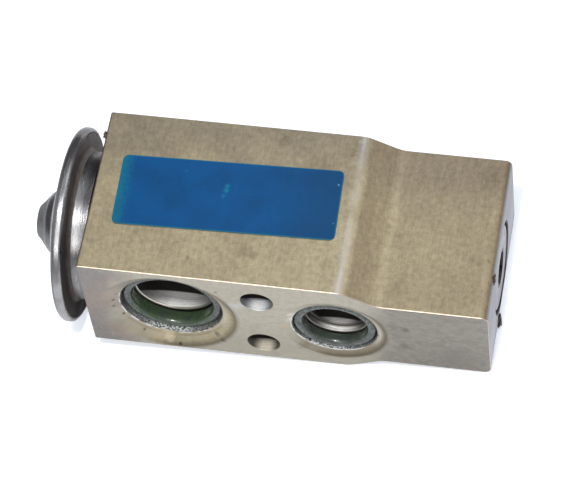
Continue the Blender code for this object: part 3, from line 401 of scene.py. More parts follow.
def soft_mark(tree, place, x, y, z, size):
    return effect(tree, soft, {"Place": place, "Spot X": x, "Spot Y": y, "Spot Z": z, "Size": size})


def marked(tree, place, surface, colour, marks, *masks):
    """A surface colour with soft marks of one colour. Each mark is X, Y, Z, size and strength."""
    for x, y, z, size, strength in marks:
        mask = times(tree, soft_mark(tree, place, x, y, z, size), *masks, strength)
        surface = tint(tree, mask, surface, colour)
    return surface


block_finish, tree, shader, place = new_finish("chromated_aluminium", 0.45)
normal = sides_of(tree, add(tree, "TexCoord").outputs["Normal"])
spot = sides_of(tree, place)
sideways = maths(tree, "ABSOLUTE", normal["Y"])
half_length = (ADJUSTER_FACE - HEAD_FACE) / 2
half_height = fade(tree, spot["X"], 14.0, 23.0, 13.0, 9.9)
from_middle = off_by(tree, spot["X"], HEAD_FACE + half_length)
inside = times(tree, maths(tree, "LESS_THAN", maths(tree, "ABSOLUTE", spot["Z"]), half_height),
               maths(tree, "LESS_THAN", from_middle, half_length - 0.4))
outside = minus(tree, 1.0, inside)
bored = times(tree, inside, fade(tree, sideways, 0.6, 0.5))
milled = fade(tree, maths(tree, "MAXIMUM", maths(tree, "ABSOLUTE", normal["X"]), sideways), 0.6, 0.8)
in_depth = minus(tree, AXIS_DEPTH, off_by(tree, spot["Y"], AXIS_DEPTH))
in_front = fade(tree, spot["Y"], 3.0, 2.8)
on_top = fade(tree, spot["Z"], 13.0, 14.0)
weave = grained(tree, stretched(tree, place, 0.2, 1.0, 1.0), 3.0, 2.2)
mottle = grained(tree, place, 1.0, 3.0)
die_lines = grained(tree, stretched(tree, place, 1.0, 0.10, 1.0), 2.6, 2.6)
lines = plus(tree, times(tree, die_lines, 0.36), times(tree, weave, 0.20), times(tree, mottle, 0.44))
clouds = stained(tree, place, 0.13, 0.35, 0.7)
small_clouds = stained(tree, place, 0.9, 0.4, 0.75)
pitted = pit_marks(tree, place, 0.7, 0.09, 0.1, 0.52)

# Chromate film on the top and the slopes, with painted shade that darkens it to the rear and on the
# slope past the bend, and browner at the right end
film = tint(tree, clouds, (0.50, 0.43, 0.285, 1), (0.43, 0.37, 0.245, 1))
film = tint(tree, times(tree, small_clouds, 0.35), film, (0.37, 0.31, 0.21, 1))
# Painted shade: the film gets darker and browner towards the rear edge.
rear_shade = fade(tree, plus(tree, spot["Y"], times(tree, clouds, 5.0)), 20.0, 37.0, 0.0, 0.8)
film = tint(tree, rear_shade, film, (0.32, 0.275, 0.205, 1))
# Painted shade on the slope, darkest just past the bend, where the surface turns away from the light.
slope_shade = times(tree, fade(tree, spot["X"], 17.2, 18.0), fade(tree, spot["X"], 23.0, 18.5, 0.25, 0.6))
film = tint(tree, slope_shade, film, (0.33, 0.26, 0.175, 1))
film = marked(tree, place, film, (0.18, 0.14, 0.09, 1), (
    (-2.8, 7.0, TOP_FACE, 2.0, 0.32), (-0.9, 6.2, TOP_FACE, 1.2, 0.28), (-13.4, 4.5, TOP_FACE, 0.4, 0.5),
    (0.6, 32.4, TOP_FACE, 1.6, 0.3), (8.3, 27.3, TOP_FACE, 4.5, 0.25), (15.0, 31.5, TOP_FACE, 3.5, 0.35),
    (22.3, 18.1, THIN_TOP, 1.2, 0.3), (25.0, 16.2, THIN_TOP, 0.8, 0.3), (39.6, 12.7, THIN_TOP, 0.9, 0.3),
    (41.0, 12.2, THIN_TOP, 1.1, 0.3), (42.9, 12.4, THIN_TOP, 0.7, 0.35), (26.5, 4.5, THIN_TOP, 2.6, 0.2),
    (41.0, 31.0, THIN_TOP, 4.0, 0.25)))
film = tint(tree, fade(tree, spot["X"], 42.6, 43.5, 0.0, 0.5), film, (0.27, 0.20, 0.13, 1))
lined = plus(tree, 0.62, times(tree, lines, 0.76))
film = scaled(tree, film, times(tree, fade(tree, spot["X"], 17.0, 42.0, 1.0, 0.9), lined))

# Milled front and rear faces, and the ground end face round the adjusting screw
uneven = plus(tree, spot["X"], times(tree, clouds, 6.0))
cut_metal = tint(tree, fade(tree, uneven, -30.0, -20.0), (0.30, 0.285, 0.272, 1), (0.53, 0.50, 0.415, 1))
cut_metal = tint(tree, fade(tree, uneven, 18.0, 31.0), cut_metal, (0.315, 0.297, 0.265, 1))
cut_metal = scaled(tree, cut_metal, fade(tree, spot["Z"], 4.0, -11.0, 1.0, 0.84))
cut_metal = tint(tree, times(tree, small_clouds, 0.5), cut_metal, (0.40, 0.36, 0.30, 1))
smudges = stained(tree, stretched(tree, place, 0.8, 1.0, 1.0), 0.4, 0.42, 0.75, 5.0)
smudges = times(tree, smudges, fade(tree, uneven, 16.0, 34.0, 0.1, 0.35))
cut_metal = tint(tree, smudges, cut_metal, (0.15, 0.14, 0.12, 1))
# The ground end face is painted lighter and bluish towards the bottom, as a painted reflection of the floor.
ground = tint(tree, fade(tree, spot["Z"], -5.0, 5.0), (0.485, 0.50, 0.545, 1), (0.335, 0.34, 0.37, 1))
cut_metal = tint(tree, fade(tree, normal["X"], 0.7, 0.9), cut_metal, ground)
worn = times(tree, minus(tree, weave, 0.5), fade(tree, uneven, 16.0, 30.0, 0.24, 0.5))
cut_metal = scaled(tree, cut_metal, plus(tree, 1.0, worn))
for colour, marks in (
        ((0.46, 0.35, 0.28, 1), [(-30.2, 0, 2.5, 4.5, 0.35)]),
        ((0.42, 0.33, 0.25, 1), [(-27.5, 0, -9.0, 4.0, 0.35)]),
        ((0.66, 0.70, 0.77, 1), [(-5.4, 0, 5.3, 1.8, 0.4), (-3.6, 0, 6.0, 1.3, 0.35)]),
        ((0.20, 0.185, 0.17, 1), [(38.0, 0, -6.0, 6.0, 0.35)])):
    cut_metal = marked(tree, place, cut_metal, colour, marks)
skin = tint(tree, milled, film, cut_metal)

# Bores with rings left by the tool. Each has painted shade at its sides and deep inside, a painted
# light tint, and a painted shadow above a slanting line, where the lamp doesn't reach.
SHADOW_SLANT = 0.69
tool_marks = add(tree, "TexNoise", {"W": times(tree, spot["Y"], 1.9), "Detail": 3.0},
                 noise_dimensions="1D").outputs[0]
ridges = fade(tree, tool_marks, 0.39, 0.58, 0.40, 1.12)
wall = scaled(tree, (0.95, 0.93, 0.88), ridges)
liquid_x = fade(tree, spot["Y"], AXIS_DEPTH - 1.0, AXIS_DEPTH + 1.0, INLET_X, OUTLET_X)
# Painted shade deep inside each bore.
deep_shade = fade(tree, in_depth, 8.5, 14.0, 1.0, 0.45)
# Each bore's wall takes a painted light tint: near white in the ports, a bluish painted reflection in the
# upper bolt hole and a warm one in the lower.
for x, z, reach, mouth, shadow_start, side, light_tint in (
        (SUCTION_X, 0.0, 7.3, 10.3, 3.7, 0.42, (0.97, 0.96, 0.92)),
        (liquid_x, 0.0, 4.8, 8.6, 2.0, 0.16, (0.97, 0.96, 0.92)),
        (0.0, BOLT_HOLE_Z, 2.8, 3.5, 0.3, 0.28, (0.94, 0.97, 1.0)),
        (0.0, -BOLT_HOLE_Z, 2.6, 3.5, 0.3, 0.16, (0.84, 0.77, 0.64))):
    across = off_by(tree, spot["X"], x)
    up = minus(tree, spot["Z"], z)
    squares = plus(tree, times(tree, across, across), times(tree, up, up))
    here = maths(tree, "LESS_THAN", squares, mouth * mouth)
    # Painted shade at the sides of each bore and deep inside it.
    side_and_depth_shade = times(tree, deep_shade, fade(tree, across, reach * 0.2, reach, 1.1, side))
    wall = tint(tree, here, wall, scaled(tree, light_tint, times(tree, ridges, side_and_depth_shade)))
    # Painted shadow above a slanting line, where the lamp doesn't reach into the bore.
    slanting = plus(tree, in_depth, times(tree, up, SHADOW_SLANT))
    painted_shadow = times(tree, fade(tree, slanting, shadow_start, shadow_start + 0.35), here)
    wall = tint(tree, painted_shadow, wall, (0.025, 0.020, 0.017, 1))
# Painted highlights: bright hot spots on the lower walls of the bores.
wall = marked(tree, place, wall, (1.0, 0.98, 0.93, 1), (
    (-18.8, 6.3, -7.6, 1.8, 0.75), (-19.4, 5.4, -7.5, 1.2, 0.7), (14.7, 3.7, -5.9, 1.0, 0.8),
    (-0.4, 0.9, 4.8, 1.2, 0.7)))
# Painted highlight along the left part of the suction port's seat edge.
seat_edge_highlight = fade(tree, off_by(tree, in_depth, SUCTION_SEAT_DEPTH + 0.16), 0.18, 0.08)
seat_edge_highlight = times(tree, seat_edge_highlight, fade(tree, spot["X"], -9.0, -19.0))
wall = tint(tree, seat_edge_highlight, wall, (1.0, 0.98, 0.92, 1))
skin = tint(tree, bored, skin, wall)
# Painted shadow along the liquid ports' collar shoulder.
collar_shadow = fade(tree, off_by(tree, in_depth, LIQUID_COLLAR_DEPTH), 0.4, 0.2)
collar_shadow = times(tree, collar_shadow, fade(tree, spot["X"], 5.0, 7.0, 0.0, 0.75), inside)
skin = tint(tree, collar_shadow, skin, (0.10, 0.095, 0.085, 1))
# Painted shade along the suction port's seat, on its right half, where the bright seat edge stops.
oily_and_shade = fade(tree, off_by(tree, in_depth, SUCTION_SEAT_DEPTH), 0.45, 0.3)
oily_and_shade = times(tree, oily_and_shade, inside, fade(tree, spot["X"], -21.5, -17.5, 0.0, 0.85),
             fade(tree, spot["X"], -3.0, -6.0))
skin = tint(tree, oily_and_shade, skin, (0.10, 0.115, 0.075, 1))

# Painted highlights along the bend where the slope starts, the burred top front edge with a painted
# highlight, paler front right corner and rear top edge, sealer, and pits
# Painted highlight: a pale band along the top of the bend where the slope starts.
bend_highlight = plus(tree, minus(tree, spot["X"], SLOPE_START), times(tree, mottle, 1.2))
bend_highlight = times(tree, fade(tree, maths(tree, "ABSOLUTE", bend_highlight), 1.5, 0.2), on_top,
               fade(tree, clouds, 0.0, 0.8, 0.42, 0.15))
skin = tint(tree, bend_highlight, skin, (0.54, 0.52, 0.48, 1))
# Painted highlight: a thin bluish line at the start of the bend, near the front and rear edges.
bend_highlight_line = fade(tree, off_by(tree, spot["X"], SLOPE_START - 0.5), 0.4, 0.1)
by_an_edge = maths(tree, "MAXIMUM", fade(tree, spot["Y"], 11.0, 3.0, 0.0, 0.42),
                   fade(tree, spot["Y"], 28.0, 33.0, 0.0, 0.25))
skin = tint(tree, times(tree, bend_highlight_line, on_top, by_an_edge), skin, (0.52, 0.55, 0.66, 1))
# The burred top front edge is bare, and brightened to a pale cream as a painted highlight.
burr = times(tree, fade(tree, normal["Y"], -0.1, -0.3), fade(tree, normal["Z"], 0.1, 0.3), outside)
skin = tint(tree, burr, skin, tint(tree, small_clouds, (0.95, 0.76, 0.64, 1), (0.80, 0.60, 0.49, 1)))
corner = times(tree, fade(tree, normal["Y"], -0.2, -0.45), fade(tree, normal["X"], 0.2, 0.45),
               minus(tree, 0.85, times(tree, small_clouds, 0.6)), outside)
skin = tint(tree, corner, skin, (0.78, 0.72, 0.69, 1))
back_edge = times(tree, fade(tree, normal["Y"], 0.2, 0.45), fade(tree, normal["Z"], 0.2, 0.45), 0.8)
skin = tint(tree, back_edge, skin, (0.58, 0.52, 0.53, 1))
sealer = times(tree, fade(tree, axis_reach(tree, place), 9.4, 9.25), fade(tree, spot["X"], 43.4, 43.8), 0.92)
skin = tint(tree, sealer, skin, (0.025, 0.025, 0.03, 1))
skin = tint(tree, times(tree, pitted, 0.8), skin, (0.06, 0.05, 0.04, 1))

# Round each front port: the sunk cone with painted light on its lower right, a painted highlight
# inside and a painted shadow at its brim, a chipped lip, and the mouth wall with painted shade and
# painted glints at its bottom
polish = burr
chips = stained(tree, place, 0.9, 0.42, 0.50, 6.0)
flecks = stained(tree, place, 2.6, 0.44, 0.54, 6.0)
for x, cone, mouth, sunk_colour in (
        (SUCTION_X, SUCTION_CONE, SUCTION_MOUTH, (0.44, 0.385, 0.255)),
        (INLET_X, LIQUID_CONE, LIQUID_MOUTH, (0.23, 0.195, 0.135))):
    # Painted light: each cone's tint is laid on its lower right only, where the lamp lights the cone.
    lit_lower_right = fade(tree, minus(tree, spot["X"], times(tree, spot["Z"], 0.7)), x - cone, x + cone)
    leftward = fade(tree, minus(tree, times(tree, minus(tree, x, spot["X"]), 0.7), spot["Z"]), 1.0, 5.0)
    sunk = fade(tree, round_port(tree, place, x, (cone + mouth) / 2, (cone - mouth) / 2 + 0.3), 0.0, 0.2)
    sunk = times(tree, sunk, fade(tree, sideways, 0.98, 0.95), in_front, lit_lower_right)
    sunk_colour = scaled(tree, sunk_colour, plus(tree, 0.8, times(tree, mottle, 0.4)))
    skin = tint(tree, sunk, skin, sunk_colour)
    # Painted highlight on the inner part of the cone, weaker at the bottom.
    inner = times(tree, round_port(tree, place, x, mouth + 0.7, 1.3), sunk,
                  fade(tree, spot["Z"], -7.0, 0.0, 0.2, 0.75))
    skin = tint(tree, inner, skin, (0.76, 0.72, 0.60, 1))
    # Painted shadow: a dark crescent at the cone's outer edge on its lower right.
    brim_shadow = times(tree, round_port(tree, place, x, cone - 0.35, 1.0), fade(tree, lit_lower_right, 0.5, 0.9),
                 in_front, 0.8)
    skin = tint(tree, brim_shadow, skin, (0.15, 0.125, 0.09, 1))
    lip = times(tree, round_port(tree, place, x, mouth + 0.85, 0.3), in_front,
                fade(tree, spot["Z"], -3.0, -7.0, 0.0, 0.5))
    skin = tint(tree, lip, skin, (0.25, 0.18, 0.10, 1))
    bare = fade(tree, round_port(tree, place, x, mouth + 0.15, 0.3), 0.1, 0.5)
    bare = times(tree, bare, in_front, chips, leftward)
    skin = tint(tree, bare, skin, (0.92, 0.91, 0.90, 1))
    polish = maths(tree, "MAXIMUM", polish, bare)
    mouth_wall = times(tree, fade(tree, round_port(tree, place, x, mouth, 0.25), 0.0, 0.3), in_front)
    # Painted shade on the mouth wall round the seal.
    skin = tint(tree, times(tree, mouth_wall, 0.9), skin, (0.045, 0.048, 0.055, 1))
    # Painted glints: pale flecks of glare on the lower mouth wall.
    glint = times(tree, fade(tree, spot["Z"], -2.0, -6.0, 0.0, 0.9),
                  fade(tree, off_by(tree, spot["X"], x - 1.2), 2.5, 5.5, 1.0, 0.3))
    skin = tint(tree, times(tree, mouth_wall, glint, flecks), skin, (0.74, 0.79, 0.77, 1))

# Marks on the front face: specks of soot, painted glare and a painted highlight on the cones, a
# painted shadow on the small cone, an oil stain and heat tint
facing = times(tree, in_front, fade(tree, normal["Y"], -0.5, -0.8))
flat = stretched(tree, place, 1.0, 0.0, 1.0)
for colour, marks in (
        ((0.04, 0.033, 0.028, 1), [
            (-29.0, 0, 1.0, 0.42, 0.9), (-29.2, 0, -1.2, 0.36, 0.9), (-27.2, 0, -1.9, 0.46, 0.8),
            (-27.7, 0, -4.4, 0.40, 0.8), (-28.3, 0, 3.3, 0.34, 0.7), (-24.1, 0, -9.4, 0.4, 0.6),
            (-7.7, 0, 10.2, 0.45, 0.6), (-9.4, 0, -8.0, 0.75, 0.5), (-8.2, 0, -8.9, 0.7, 0.5),
            (-17.2, 0, -12.6, 0.5, 0.8), (22.4, 0, -1.1, 0.7, 0.7), (28.3, 0, 3.2, 1.2, 0.4),
            (27.9, 0, -3.0, 1.6, 0.25)]),
        # Painted glare: warm hot spots at the bottom of the large cone.
        ((0.98, 0.84, 0.60, 1), [(-19.4, 0, -11.1, 1.5, 0.5)]),
        ((0.74, 0.62, 0.40, 1), [(-21.0, 0, -11.0, 2.6, 0.3)]),
        # Painted highlight on the left of the small cone.
        ((0.86, 0.84, 0.78, 1), [(6.3, 0, 3.6, 1.3, 0.5), (6.0, 0, 1.6, 1.3, 0.5)]),
        ((0.64, 0.48, 0.28, 1), [(4.8, 0, -0.4, 1.3, 0.35)]),
        # Painted shadow: a dark crescent on the small cone's lower left.
        ((0.14, 0.105, 0.07, 1), [(8.0, 0, -7.5, 1.7, 0.4)])):
    skin = marked(tree, flat, skin, colour, marks, facing)
for radius in (14.1, 15.8):
    heat_tint_and_painted_reflection = times(tree, round_port(tree, place, SUCTION_X, radius, 0.9),
                      fade(tree, spot["X"], -24.0, -28.5, 0.0, 0.32), milled)
    skin = tint(tree, heat_tint_and_painted_reflection, skin, (0.40, 0.27, 0.23, 1))
tree.links.new(minus(tree, 1.0, times(tree, bored, 0.75)), shader["Metallic"])
roughness = minus(tree, plus(tree, 0.42, times(tree, weave, 0.14)), times(tree, milled, 0.08))
roughness = minus(tree, roughness, times(tree, maths(tree, "MAXIMUM", polish, bored), 0.12))
paint(tree, shader, skin, plus(tree, roughness, times(tree, bored, in_front, 0.2)))
height = times(tree, lines, minus(tree, 1.0, times(tree, milled, 0.7)))
height = minus(tree, height, times(tree, pitted, 1.5))
height = plus(tree, height, times(tree, tool_marks, bored, 3.0))
raise_surface(tree, shader, height, 0.03)
block.data.materials.clear()
block.data.materials.append(block_finish)
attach(block, "valve_block")
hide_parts("valve_body")


# Power head
# Two pressed stainless covers with the diaphragm between them. The upper one's rim
# is rolled over the lower one's flange and welded; the lower neck screws into the block.
def bend_points(centre, radius, start, end, steps=8):
    """Points of a round bend, as station and radius, with its angles in degrees."""
    places = []
    for step in range(steps + 1):
        angle = math.radians(start + (end - start) * step / steps)
        places.append((centre[0] + radius * math.cos(angle), centre[1] + radius * math.sin(angle)))
    return places


def from_head(profile):
    """Heights above the block's head face, turned into stations along the valve."""
    return [(HEAD_FACE - height, radius) for height, radius in profile]


VALVE_CENTRE = (AXIS_DEPTH, 0.0)
DOME_FOOT, DOME_RISE = 6.05, 2.95
DOME_OUTER, DOME_INNER = 16.2, 6.9
CUP_BEND = (2.9, 15.6)
dome = []
for step in range(25):
    share = step / 24
    rise = share - math.sin(2 * math.pi * share) / (4 * math.pi)
    dome.append((DOME_FOOT + DOME_RISE * rise, DOME_OUTER + (DOME_INNER - DOME_OUTER) * share))
cover_profile = [(10.9, 2.3), (10.9, 5.2), (10.48, 5.72), (10.2, 6.0), (9.6, 6.35), (9.2, 6.6)]
cover_profile += reversed(dome)
cover_profile += bend_points((5.05, 18.2), 1.0, 0, 90, 10) + bend_points((4.5, 18.55), 0.65, 90, 180)
cover_profile += [(3.9, 18.2), (5.35, 18.2), (5.35, DOME_OUTER), (8.3, DOME_INNER), (9.6, 5.2),
                  (10.2, 4.75), (10.2, 2.3)]
cover = turned("power_head_upper_cover", from_head(cover_profile), "X", VALVE_CENTRE, 160, closed=True)
shade(cover)
base_profile = [(4.6, 18.15), (3.9, 18.15)]
base_profile += bend_points(CUP_BEND, 1.0, 0, -90) + bend_points((0.3, 14.4), 0.2, 90, 180, 6)
base_profile += [(0.05, 10.5), (-6.0, 10.5), (-6.0, 9.8), (0.8, 9.8), (0.8, 13.9)]
base_profile += bend_points(CUP_BEND, 1.7, -90, 0)
base = turned("power_head_lower_cover", from_head(base_profile), "X", VALVE_CENTRE, 160, closed=True)
shade(base)

# Brushed steel. The gap between the rim and the cup is sooty, with painted shade over it, and the
# rim's left side is painted dark at its outer edge as a painted reflection; both are duller than the
# rest. The rim and the cup carry painted light that falls off to the rear, and on the cup also
# towards the bottom and the block.
head_finish, tree, shader, place = new_finish("pressed_stainless", 0.3)
spot = sides_of(tree, place)
reach = axis_reach(tree, place)
brushed = grained(tree, stretched(tree, place, 1.0, 0.25, 0.25), 2.5, 2.0)
clouds = stained(tree, place, 0.22, 0.4, 0.7)
specks = pit_marks(tree, place, 1.3, 0.12, 0.15, 0.5)
steel = tint(tree, clouds, (0.42, 0.42, 0.43, 1), (0.33, 0.325, 0.33, 1))
in_gap = times(tree, fade(tree, spot["X"], -38.6, -38.35), fade(tree, spot["X"], -37.3, -37.5),
               fade(tree, reach, 18.6, 18.35))
gap_colour = tint(tree, brushed, (0.050, 0.040, 0.037, 1), (0.125, 0.110, 0.104, 1))
to_back = plus(tree, spot["Y"], times(tree, spot["Z"], 0.4))
# Painted shade in the gap: lighter to the rear and darker at the bottom.
gap_light = times(tree, fade(tree, to_back, 23.0, 34.0, 1.0, 2.0),
                  fade(tree, spot["Z"], -3.0, -11.0, 1.0, 0.15))
# Painted light on the cup and the rim: less to the rear and, on the cup, towards the bottom and the block.
cup_light = times(tree, fade(tree, to_back, 17.0, 29.0, 1.0, 0.55),
                  fade(tree, spot["Z"], 1.0, -9.0, 1.0, 0.4), fade(tree, spot["X"], -36.9, -35.2, 1.0, 0.42))
rim_light = fade(tree, to_back, 17.0, 29.0, 1.0, 0.6)
steel = scaled(tree, steel, fade(tree, spot["X"], -37.5, -37.3, rim_light, cup_light))
steel = tint(tree, in_gap, steel, scaled(tree, gap_colour, gap_light))
# Painted reflection: the rim's left side is painted dark towards its outer edge.
heat_tint_and_painted_reflection = times(tree, fade(tree, spot["X"], -39.7, -40.2), fade(tree, reach, 16.4, 17.6))
steel = tint(tree, times(tree, heat_tint_and_painted_reflection, 0.8), steel, (0.12, 0.105, 0.12, 1))
on_boss = times(tree, fade(tree, reach, 7.6, 6.4), fade(tree, spot["X"], -42.0, -43.0))
steel = tint(tree, on_boss, steel, (0.22, 0.22, 0.225, 1))
steel = tint(tree, times(tree, specks, 0.7), steel, (0.08, 0.07, 0.06, 1))
shader["Specular IOR Level"].default_value = 0.15
soot_and_dark_edge = maths(tree, "MAXIMUM", in_gap, heat_tint_and_painted_reflection)
tree.links.new(fade(tree, soot_and_dark_edge, 0.0, 1.0, 1.0, 0.4), shader["Metallic"])
roughness = plus(tree, fade(tree, soot_and_dark_edge, 0.0, 1.0, 0.19, 0.4), times(tree, brushed, 0.16))
paint(tree, shader, steel, plus(tree, roughness, times(tree, clouds, 0.10)))
raise_surface(tree, shader, brushed, 0.025)
for piece, node in ((cover, "power_head_cover"), (base, "power_head_base")):
    piece.data.materials.append(head_finish)
    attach(piece, "valve_block")
    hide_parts(node)


# Charge plug
# A dull steel plug with a blunt cone for a head, which was resistance welded into the
# upper cover after the power head had been filled.
plug_profile = [(12.75, 0.0), (12.75, 2.95)] + bend_points((12.4, 3.02), 0.35, 0, 50, 4)
plug_profile += [(11.9, 3.98), (11.3, 4.74), (10.98, 5.12), (10.93, 5.1), (10.93, 2.0), (9.8, 2.0),
                 (9.8, 0.0)]
plug = turned("fill_plug", from_head(plug_profile), "X", VALVE_CENTRE, 64)
shade(plug)
plug_finish, tree, shader, place = new_finish("dull_plug_steel", 0.5)
clouds = stained(tree, place, 0.8, 0.35, 0.7)
scuffs = grained(tree, stretched(tree, place, 1.0, 0.4, 0.4), 3.0, 2.4)
paint(tree, shader, tint(tree, clouds, (0.29, 0.29, 0.29, 1), (0.21, 0.205, 0.20, 1)),
      plus(tree, 0.38, times(tree, scuffs, 0.3)))
raise_surface(tree, shader, scuffs, 0.04)
plug.data.materials.append(plug_finish)
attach(plug, "valve_block")
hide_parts("charge_plug")


# Port seals
# Green rubber rings that stayed in the two front ports when the tubes were pulled out.
# They are oily, and dulled to a bluish grey where the tube's shoulder pressed on them.
def squared(value):
    """Fill out a round section towards a square one, as a squeezed ring has it."""
    return math.copysign(abs(value) ** 0.65, value)


def seal_ring(name, axis, centre, station, radius, section, length, sides=24, segments=128):
    """Moulded ring, longer in depth where it is squeezed, with a fine parting line of flash."""
    profile = []
    for index in range(sides):
        angle = 2 * math.pi * index / sides
        flash = 1.03 if index in (0, sides // 2) else 1.0
        along, out = squared(math.sin(angle)), squared(math.cos(angle))
        profile.append((station + length / 2 * along, radius + section / 2 * flash * out))
    piece = turned(name, profile, axis, centre, segments, closed=True)
    piece.data.shade_smooth()
    return piece


rubber_finish, tree, shader, place = new_finish("oily_green_rubber", 0.35, 0.0)
shader["Coat Weight"].default_value = 0.5
shader["Coat Roughness"].default_value = 0.12
normal = sides_of(tree, add(tree, "TexCoord").outputs["Normal"])
spot = sides_of(tree, place)
clouds = stained(tree, place, 0.7, 0.35, 0.7)
specks = stained(tree, place, 1.8, 0.44, 0.56, 6.0)
dust = pit_marks(tree, place, 2.5, 0.26, 0.5, 0.42)
at_liquid_port = fade(tree, spot["X"], -5.0, 5.0)
green = tint(tree, clouds, (0.050, 0.085, 0.038, 1), (0.030, 0.050, 0.032, 1))
greyer = scaled(tree, (0.056, 0.072, 0.058), fade(tree, clouds, 0.0, 1.0, 1.0, 0.6))
green = tint(tree, at_liquid_port, green, greyer)
dull = tint(tree, at_liquid_port, (0.062, 0.072, 0.092, 1), (0.07, 0.10, 0.092, 1))
dull = tint(tree, specks, dull, (0.014, 0.016, 0.02, 1))
pressed = times(tree, fade(tree, normal["Y"], -0.72, -0.92), fade(tree, spot["Z"], -5.5, -1.0, 0.25, 0.9))
green = tint(tree, pressed, green, dull)
green = tint(tree, times(tree, dust, 0.5), green, (0.015, 0.015, 0.015, 1))
paint(tree, shader, green, plus(tree, 0.22, times(tree, clouds, 0.3)))
raise_surface(tree, shader, minus(tree, clouds, dust), 0.03)
for name, node, x, depth, radius, section, length in (
        ("suction_seal_ring", "suction_port_seal", SUCTION_X, 3.85, 8.93, 1.95, 3.0),
        ("liquid_seal_ring", "liquid_port_seal", INLET_X, 2.05, 7.2, 1.9, 2.3)):
    seal = seal_ring(name, "Y", (x, 0.0), depth, radius, section, length)
    seal.data.materials.append(rubber_finish)
    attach(seal, "valve_block")
    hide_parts(node)


# Inner seals
# Black rubber rings: under the power head, round the sensing rod, and in the groove
# of the adjusting screw. Each is squeezed in its groove and closes that joint.
black_finish, tree, shader, place = new_finish("black_seal_rubber", 0.5, 0.0)
clouds = stained(tree, place, 0.6, 0.35, 0.7)
paint(tree, shader, tint(tree, clouds, (0.022, 0.022, 0.023, 1), (0.045, 0.043, 0.04, 1)),
      plus(tree, 0.38, times(tree, clouds, 0.25)))
raise_surface(tree, shader, clouds, 0.02)
for name, node, body, station, radius, section in (
        ("head_seal_ring", "power_head_seal", "valve_block", HEAD_FACE + 0.75, 11.55, 1.5),
        ("rod_seal_ring", "rod_seal", "valve_block", -6.45, 3.75, 1.3),
        ("adjuster_seal_ring", "adjuster_seal", "adjuster_carriage", 35.7, 6.4, 1.8)):
    seal = seal_ring(name, "X", VALVE_CENTRE, station, radius, section, section, 16, 64)
    seal.data.materials.append(black_finish)
    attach(seal, body)
    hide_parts(node)


# Adjusting screw
# A turned plug with a fine thread and a hexagon socket. It is screwed in against the
# superheat spring, with a seal ring in its groove, and staked with sealer.
SCREW_FACE = 44.2
THREAD_PITCH, THREAD_TURNS = 0.35, 9
SOCKET_WIDTH, SOCKET_DEPTH = 6.0, 4.5
screw_profile = [(SCREW_FACE, 0.0), (SCREW_FACE, 8.1), (SCREW_FACE - 0.12, 8.4), (SCREW_FACE - 0.4, 8.7)]
for thread in range(THREAD_TURNS):
    crest = SCREW_FACE - 0.55 - THREAD_PITCH * thread
    screw_profile += [(crest, 8.7), (crest - THREAD_PITCH / 2, 8.45)]
screw_profile += [(40.4, 8.5), (40.2, 7.3), (36.9, 7.3), (36.9, 5.2), (34.5, 5.2), (34.5, 7.3),
                  (31.5, 7.3), (31.5, 5.4), (34.2, 5.4), (34.2, 0.0)]
screw = turned("adjusting_plug", screw_profile, "X", VALVE_CENTRE, 96)
socket = bmesh.new()
socket_radius = SOCKET_WIDTH / math.sqrt(3) * MM
bmesh.ops.create_cone(socket, cap_ends=True, segments=6, radius1=socket_radius, radius2=socket_radius,
                      depth=2 * SOCKET_DEPTH * MM)
lying = Matrix.Translation(Vector((SCREW_FACE, AXIS_DEPTH, 0)) * MM) @ Matrix.Rotation(math.pi / 2, 4, "Y")
bmesh.ops.transform(socket, matrix=lying, verts=socket.verts)
mouth_profile = [(SCREW_FACE + 0.3, 3.75), (SCREW_FACE - 0.35, 3.1)]
drill_mouth = bore("socket_mouth", mouth_profile, "X", VALVE_CENTRE, 48)
cut_away(screw, [new_piece("hexagon_socket", socket), drill_mouth])
shade(screw)
screw_finish, tree, shader, place = new_finish("dull_turned_metal", 0.35)
spot = sides_of(tree, place)
reach = axis_reach(tree, place)
tool_lines = add(tree, "TexNoise", {"W": times(tree, reach, 9.0), "Detail": 3.0},
                 noise_dimensions="1D").outputs[0]
clouds = stained(tree, place, 0.5, 0.4, 0.65)
dirt = stained(tree, place, 0.8, 0.55, 0.66)
metal = tint(tree, clouds, (0.50, 0.49, 0.52, 1), (0.40, 0.39, 0.42, 1))
metal = tint(tree, times(tree, dirt, 0.3), metal, (0.10, 0.09, 0.08, 1))
# Painted shade, near black, in the hexagon socket, on the chamfer round the face and on all that lies below
# the face.
below_face = fade(tree, spot["X"], SCREW_FACE - 0.1, SCREW_FACE - 0.7)
dark = maths(tree, "MAXIMUM", maths(tree, "MAXIMUM", below_face, fade(tree, reach, 4.0, 3.75)),
             fade(tree, reach, 8.05, 8.25))
metal = tint(tree, times(tree, dark, 0.95), metal, (0.018, 0.018, 0.02, 1))
paint(tree, shader, metal, plus(tree, 0.25, times(tree, tool_lines, 0.25)))
raise_surface(tree, shader, tool_lines, 0.03)
screw.data.materials.append(screw_finish)
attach(screw, "adjuster")
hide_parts("adjusting_screw")


# Dirt and burr
# Two crumbs of dried brown sealer beside the adjusting screw, and a dark burr left by the
# saw at the block's top corner. They are small ragged lumps that stick to the block.
def ragged_lump(name, centre, size, seed):
    """Ball of the given half sizes with a ragged surface, different for each seed."""
    mesh = bmesh.new()
    bmesh.ops.create_icosphere(mesh, subdivisions=4, radius=1.0)
    for vertex in mesh.verts:
        broad_noise = noise.noise(vertex.co * 1.7 + Vector((seed, 0, 0)))
        ragged = 1.0 + 0.9 * broad_noise + 0.4 * noise.noise(vertex.co * 5.0)
        offset = Vector([side * half * ragged for side, half in zip(vertex.co, size)])
        vertex.co = (Vector(centre) + offset) * MM
    return new_piece(name, mesh)


